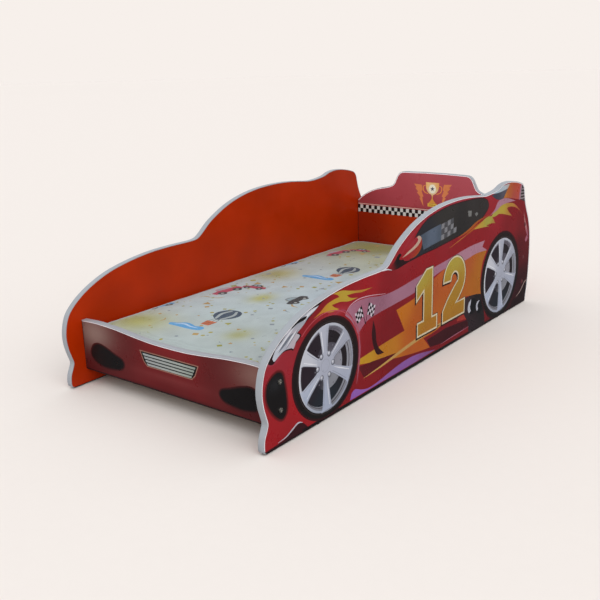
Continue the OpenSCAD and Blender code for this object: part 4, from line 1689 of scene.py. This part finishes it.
def mattress_mesh(look):
    """The cover as one closed mesh: a printed top, padded edges and a plain underside.

    Gives the mesh, and the rings of points round it from the top down."""
    start = SIDE_MARGIN + look.corner_round / MM
    at, triangles, colours = cut_sheet([rounded_plan(start)], mattress_print(look), 12)
    high = COVER[1].z / MM - TOP_MARGIN
    points = [Vector((x, y, high)) for x, y in at]
    faces = triangles.tolist()
    tints = [c.reshape(-1, 4) for c in colours]
    plain = np.array([*linear(look.cloth), 1])
    # The top sheet's rim may gain points where an ink's edge meets it, so its rim is walked anew.
    edge_use = collections.Counter(frozenset(e) for f in faces for e in zip(f, [*f[1:], f[0]]))
    ahead = {}
    for f in faces:
        for a, b in zip(f, [*f[1:], f[0]]):
            if edge_use[frozenset((a, b))] == 1:
                ahead[a] = b
    rim = [next(iter(ahead))]
    while ahead[rim[-1]] != rim[0]:
        rim.append(ahead[rim[-1]])
    ring = np.array([at[i] for i in rim])
    normal = np.stack(
        [
            np.roll(ring, -1, 0)[:, 1] - np.roll(ring, 1, 0)[:, 1],
            np.roll(ring, 1, 0)[:, 0] - np.roll(ring, -1, 0)[:, 0],
        ],
        1,
    )
    normal /= np.linalg.norm(normal, axis=1, keepdims=True)
    above = rim
    rings = []
    for inset_by, z in mattress_rows(look):
        row = ring + normal * (start - inset_by)
        below = list(range(len(points), len(points) + len(row)))
        points += [Vector((x, y, z)) for x, y in row]
        rings.append(below)
        for i in range(len(rim)):
            j = (i + 1) % len(rim)
            faces.append([above[j], above[i], below[i], below[j]])
            tints.append(np.tile(plain, (4, 1)))
        above = below
    # The underside: its rim points are the last row's own, and the rest are new.
    at, triangles, _ = cut_sheet([ring], [ink_layer(look.cloth, grown(ring, 5))], 30)
    tree = kdtree.KDTree(len(above))
    for i in above:
        tree.insert((points[i].x, points[i].y, 0), i)
    tree.balance()
    names = []
    for x, y in at:
        _, near, gap = tree.find((x, y, 0))
        if gap < 0.5:
            names.append(near)
        else:
            names.append(len(points))
            points.append(Vector((x, y, COVER[0].z / MM)))
    for a, b, c in triangles:
        faces.append([names[c], names[b], names[a]])
        tints.append(np.tile(plain, (3, 1)))
    mesh = bpy.data.meshes.new("mattress")
    mesh.from_pydata([tuple(p * MM) for p in points], [], faces)
    ink = mesh.color_attributes.new("ink", "FLOAT_COLOR", "CORNER")
    ink.data.foreach_set("color", np.concatenate(tints).ravel())
    return mesh, rings


# --- Operators ---


class BED_OT_boards(bpy.types.Operator):
    """Gives the four boards their pressed laminate"""

    bl_idname = "bed.boards"
    bl_label = "Boards"

    def execute(self, context):
        laminate = melamine_laminate(context.scene.bed_boards.laminate)
        for node in ("side_panel_right", "side_panel_left", "headboard", "footboard"):
            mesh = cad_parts[node].data
            mesh.materials.clear()
            mesh.materials.append(laminate)
        return {"FINISHED"}


class BED_OT_edge_bands(bpy.types.Operator):
    """Wraps the boards' edges in scraped plastic bands"""

    bl_idname = "bed.edge_bands"
    bl_label = "Edge bands"

    def execute(self, context):
        look = context.scene.bed_boards
        # The bands are painted dark below these heights, as painted shade under the boards.
        side = extruded_edge_band(look.band, NOSE.z + 2.1 * MM)
        cross = extruded_edge_band(look.band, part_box("footboard")[0].z + 0.2 * MM)
        for board, band in (("side", side), ("headboard", cross), ("footboard", cross)):
            for node in sorted(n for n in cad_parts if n.startswith(board + "_edging")):
                made = rounded_copy(node, node.replace("edging", "edge_band"), band, look.band_round)
                hand_over(made, "frame", "edge_banding", node)
        return {"FINISHED"}


class BED_OT_side_films(bpy.types.Operator):
    """Prints the racing car on both side panels"""

    bl_idname = "bed.side_films"
    bl_label = "Side films"

    def execute(self, context):
        inks = context.scene.bed_inks
        film = bpy.data.materials.get("Printed PVC film, laminated") or printed_pvc_film()
        for side, facing in (("right", 1), ("left", -1)):
            layers = side_print(inks, mirrored=side == "left")
            printed_film(
                f"side_print_{side}", f"side_film_{side}", (facing, 0, 0), (0, 1, 0), NOSE, layers, film,
                inks.strength,
            )
        return {"FINISHED"}


class BED_OT_end_films(bpy.types.Operator):
    """Prints the head and foot boards"""

    bl_idname = "bed.end_films"
    bl_label = "Head and foot films"

    def execute(self, context):
        inks = context.scene.bed_inks
        film = bpy.data.materials.get("Printed PVC film, laminated") or printed_pvc_film()
        origin = Vector((0, 0, NOSE.z))
        # The headboard's inks are nearly twice as strong as the footboard's: painted light, which brightens
        # a face that gets little light here.
        for board, layers, share in (
            ("headboard", head_print(inks), 1.9), ("footboard", foot_print(inks), 1.05)
        ):
            # Past 3 mm from the board's ends the film's rim gets painted shade, not its painted highlight.
            strength, edge = inks.strength * share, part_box(f"{board}_film")[1].x / MM - 3
            printed_film(
                f"{board}_print", f"{board}_film", (0, -1, 0), (1, 0, 0), origin, layers, film, strength,
                edge,
            )
        return {"FINISHED"}


class BED_OT_slatted_base(bpy.types.Operator):
    """Makes the rails and slats of planed wood"""

    bl_idname = "bed.slatted_base"
    bl_label = "Slatted base"

    def execute(self, context):
        look = context.scene.bed_boards
        pine = planed_wood("Pine, planed", look.pine, 1)
        poplar = planed_wood("Poplar, planed", look.slat_wood, 0, 7)
        for side in ("right", "left"):
            made = rounded_copy(f"rail_{side}", f"planed_rail_{side}", pine, 1.2 * MM)
            hand_over(made, "frame", "pine", f"rail_{side}")
        for node in sorted(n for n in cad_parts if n.startswith("slat_") and n != "slat_screws"):
            made = rounded_copy(node, "planed_" + node, poplar, look.slat_round, 3)
            hand_over(made, "frame", "slat_wood", node)
        return {"FINISHED"}


class BED_OT_fasteners(bpy.types.Operator):
    """Makes bolts, barrel nuts, caps, screws, glides and nails"""

    bl_idname = "bed.fasteners"
    bl_label = "Fasteners and glides"

    def execute(self, context):
        nickel = plated_metal("Steel, nickel-plated", "#C9C3B8", 0.24)
        zinc = plated_metal("Steel, zinc-plated", "#B4BAC0", 0.34, 0.7)
        nylon = moulded_plastic("Polyethylene, moulded", "#2E2C2B")
        vinyl = moulded_plastic(
            "Vinyl cap, stamped", mixed(context.scene.bed_inks.deep, "#7A2A30", 0.4), 0.35
        )
        for node, material, slot, radius in (
            ("panel_bolts", nickel, "nickel_steel", 0.5),
            ("barrel_nuts", zinc, "zinc_steel", 0.4),
            ("bolt_caps", vinyl, "cap_film", 0.12),
            ("rail_screws", zinc, "zinc_steel", 0.15),
            ("slat_screws", zinc, "zinc_steel", 0.15),
            ("glides", nylon, "glide_plastic", 0.5),
            ("glide_nails", zinc, "zinc_steel", 0.1),
        ):
            hand_over(rounded_copy(node, "finished_" + node, material, radius * MM), "frame", slot, node)
        return {"FINISHED"}


class BED_OT_mattress(bpy.types.Operator):
    """Makes the padded mattress in its printed cover"""

    bl_idname = "bed.mattress"
    bl_label = "Mattress"

    def execute(self, context):
        look = context.scene.bed_mattress
        cloth = woven_cloth("Printed cotton cloth, woven")
        mesh, rings = mattress_mesh(look)
        mesh.materials.append(cloth)
        made = new_object("mattress", mesh)
        shift_at = swollen(made, look)
        for vert in mesh.vertices:
            vert.co += shift_at(vert.co)
        for vert in mesh.vertices:
            place = vert.co
            # Slack ripples of the cover over the foam, at most 1.5 mm.
            ripple = noise.noise(Vector((place.x * 7, place.y * 4, 3))) + 0.5 * noise.noise(place * 16)
            lift = max(0, min(1, (place.z - COVER[0].z) / (COVER[1].z - COVER[0].z)))
            place.z += 1.5 * MM * ripple * lift
            place.z = max(place.z, COVER[0].z)
        mesh.shade_smooth()
        hand_over(made, "mattress", "printed_cloth", "mattress_cover", "mattress_foam")
        piping = woven_cloth("Cotton piping, woven", mixed(look.cloth, "#8FA4B0", 0.3), 0.9)
        for name, ring in (("upper", rings[1]), ("lower", rings[-4])):
            path = [mesh.vertices[i].co.copy() for i in ring]
            seam = tube(f"piping_{name}", path, look.piping / 2, piping)
            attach(seam, "mattress")
        return {"FINISHED"}


class BED_OT_zip(bpy.types.Operator):
    """Sews the zip into the cover's head end"""

    bl_idname = "bed.zip"
    bl_label = "Zip"

    def execute(self, context):
        low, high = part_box("cover_zip")
        cover = bpy.data.objects["mattress"]
        surface = bvhtree.BVHTree.FromObject(cover, context.evaluated_depsgraph_get())
        middle = (low.z + high.z) / 2

        def on_cover(x, z):
            hit = surface.ray_cast(Vector((x, high.y + 0.05, z)), Vector((0, -1, 0)))[0]
            return hit.y if hit else low.y

        def bar(x0, x1, z0, z1, proud, points, faces):
            """One flat block that follows the cover."""
            first = len(points)
            for x, z in ((x0, z0), (x1, z0), (x1, z1), (x0, z1)):
                y = on_cover((x0 + x1) / 2, middle)
                points += [Vector((x, y - 0.4 * MM, z)), Vector((x, y + proud, z))]
            for a, b in ((0, 2), (2, 4), (4, 6), (6, 0)):
                faces.append((first + a, first + b, first + b + 1, first + a + 1))
            faces.append((first + 1, first + 3, first + 5, first + 7))
            faces.append((first + 6, first + 4, first + 2, first))

        tape = ([], [])
        teeth = ([], [])
        spans = 60
        for i in range(spans):
            x0 = low.x + (high.x - low.x) * i / spans
            x1 = low.x + (high.x - low.x) * (i + 1) / spans
            bar(x0, x1, low.z, high.z, 0.4 * MM, *tape)
        pitch = 2.5 * MM
        for i in range(int((high.x - low.x) / pitch) - 1):
            x0 = low.x + (i + 0.5) * pitch
            shift = 0.5 * MM if i % 2 else -0.5 * MM
            bar(x0, x0 + 1.5 * MM, middle - 1.6 * MM + shift, middle + 1.6 * MM + shift, 1.0 * MM, *teeth)
        woven = woven_cloth("Polyester zip tape, woven", "#A8B2B4", 0.8, 0.1)
        coil = moulded_plastic("Nylon zip coil, moulded", "#C8CCCC", 0.35)
        ribbon_piece = mesh_object("zip_tape", *tape, woven)
        hand_over(ribbon_piece, "mattress", "zip_tape", "cover_zip")
        row = mesh_object("zip_teeth", *teeth, coil)
        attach(row, "mattress")
        nickel = plated_metal("Zinc slider, nickel-plated", "#BDB9B2", 0.28)
        slider = rounded_copy("zip_slider", "zip_runner", nickel, 0.8 * MM, 3)
        hand_over(slider, "mattress", "nickel_steel", "zip_slider")
        return {"FINISHED"}


class BED_OT_stage(bpy.types.Operator):
    """Lays the pale floor, hangs the soft light and sets up the camera"""

    bl_idname = "bed.stage"
    bl_label = "Stage"

    def execute(self, context):
        look = context.scene.bed_stage
        scene = context.scene
        scene.view_settings.view_transform = "Standard"
        sun_from = Vector(KEY_FROM).normalized()
        key_share = look.sun * sun_from.z / math.pi
        paper = matt_paper([c / (look.sky * t + key_share) for c, t in zip(look.paper, look.tent)])
        floor = mesh_object("studio_floor", level_circle(STAGE_RADIUS), [range(STAGE_SIDES)], paper)
        glow, tree, _ = new_material("Studio backdrop, back-lit")
        lit = add_node(tree, "ShaderNodeEmission", {"Color": rgba(look.paper)})
        add_node(tree, "ShaderNodeOutputMaterial", {"Surface": lit})
        reach, sides = STAGE_RADIUS - 1, STAGE_SIDES
        rings = [
            level_circle(reach * math.cos(t), reach * math.sin(t) - 0.01) for t in np.linspace(0, 1.5, 12)
        ]
        quads = [
            (i * sides + k, i * sides + m, (i + 1) * sides + m, (i + 1) * sides + k)
            for i in range(len(rings) - 1)
            for k, m in zip(range(sides), (*range(1, sides), 0))
        ]
        dome = mesh_object("studio_backdrop", [p for ring in rings for p in ring], quads, glow)
        # The backdrop is only seen; the sky behind it and the key light do the lighting.
        dome.visible_diffuse = dome.visible_glossy = dome.visible_shadow = False
        floor.visible_glossy = False
        scene.world = studio_sky(look.tent, look.sky)
        key = bpy.data.lights.new("Key", "SUN")
        key.energy = look.sun
        key.angle = math.radians(60)
        lamp = new_object("key_light", key)
        lamp.rotation_euler = sun_from.to_track_quat("Z", "Y").to_euler()
        view = bpy.data.cameras.new("Camera")
        view.lens = look.lens
        view.sensor_width = 36
        view.clip_end = 200
        camera = new_object("camera", view)
        yaw, pitch, roll = (math.radians(angle) for angle in CAMERA_TURN)
        level = Vector((-math.sin(yaw), math.cos(yaw), 0))
        ahead = level * math.cos(pitch) - Vector((0, 0, math.sin(pitch)))
        right = Vector((math.cos(yaw), math.sin(yaw), 0))
        up = right.cross(ahead)
        across = right * math.cos(roll) + up * math.sin(roll)
        upward = up * math.cos(roll) - right * math.sin(roll)
        turn = Matrix((across, upward, -ahead)).transposed().to_4x4()
        camera.matrix_world = Matrix.Translation(CAMERA_AT) @ turn
        scene.camera = camera
        return {"FINISHED"}


OPERATORS = (
    BED_OT_boards,
    BED_OT_edge_bands,
    BED_OT_side_films,
    BED_OT_end_films,
    BED_OT_slatted_base,
    BED_OT_fasteners,
    BED_OT_mattress,
    BED_OT_zip,
    BED_OT_stage,
)


class BED_PT_panel(bpy.types.Panel):
    """Lists the pieces of the bed in the order they are made"""

    bl_label = "Toddler bed"
    bl_idname = "BED_PT_panel"
    bl_space_type = "VIEW_3D"
    bl_region_type = "UI"
    bl_category = "Bed"

    def draw(self, context):
        for operator in OPERATORS:
            self.layout.operator(operator.bl_idname)


GROUPS = {
    "bed_boards": BoardLook,
    "bed_inks": PrintInks,
    "bed_mattress": MattressLook,
    "bed_stage": StageLook,
}


def register():
    for group in GROUPS.values():
        bpy.utils.register_class(group)
    for cls in (*OPERATORS, BED_PT_panel):
        bpy.utils.register_class(cls)
    for name, group in GROUPS.items():
        setattr(bpy.types.Scene, name, bpy.props.PointerProperty(type=group))


def unregister():
    for name in GROUPS:
        delattr(bpy.types.Scene, name)
    for cls in (BED_PT_panel, *reversed(OPERATORS)):
        bpy.utils.unregister_class(cls)
    for group in reversed(GROUPS.values()):
        bpy.utils.unregister_class(group)


def main():
    for name in ("Cube", "Light", "Camera"):
        stray = bpy.data.objects.get(name)
        if stray:
            bpy.data.objects.remove(stray)
    register()
    for operator in OPERATORS:
        group, action = operator.bl_idname.split(".")
        getattr(getattr(bpy.ops, group), action)()


if __name__ == "__main__":
    main()
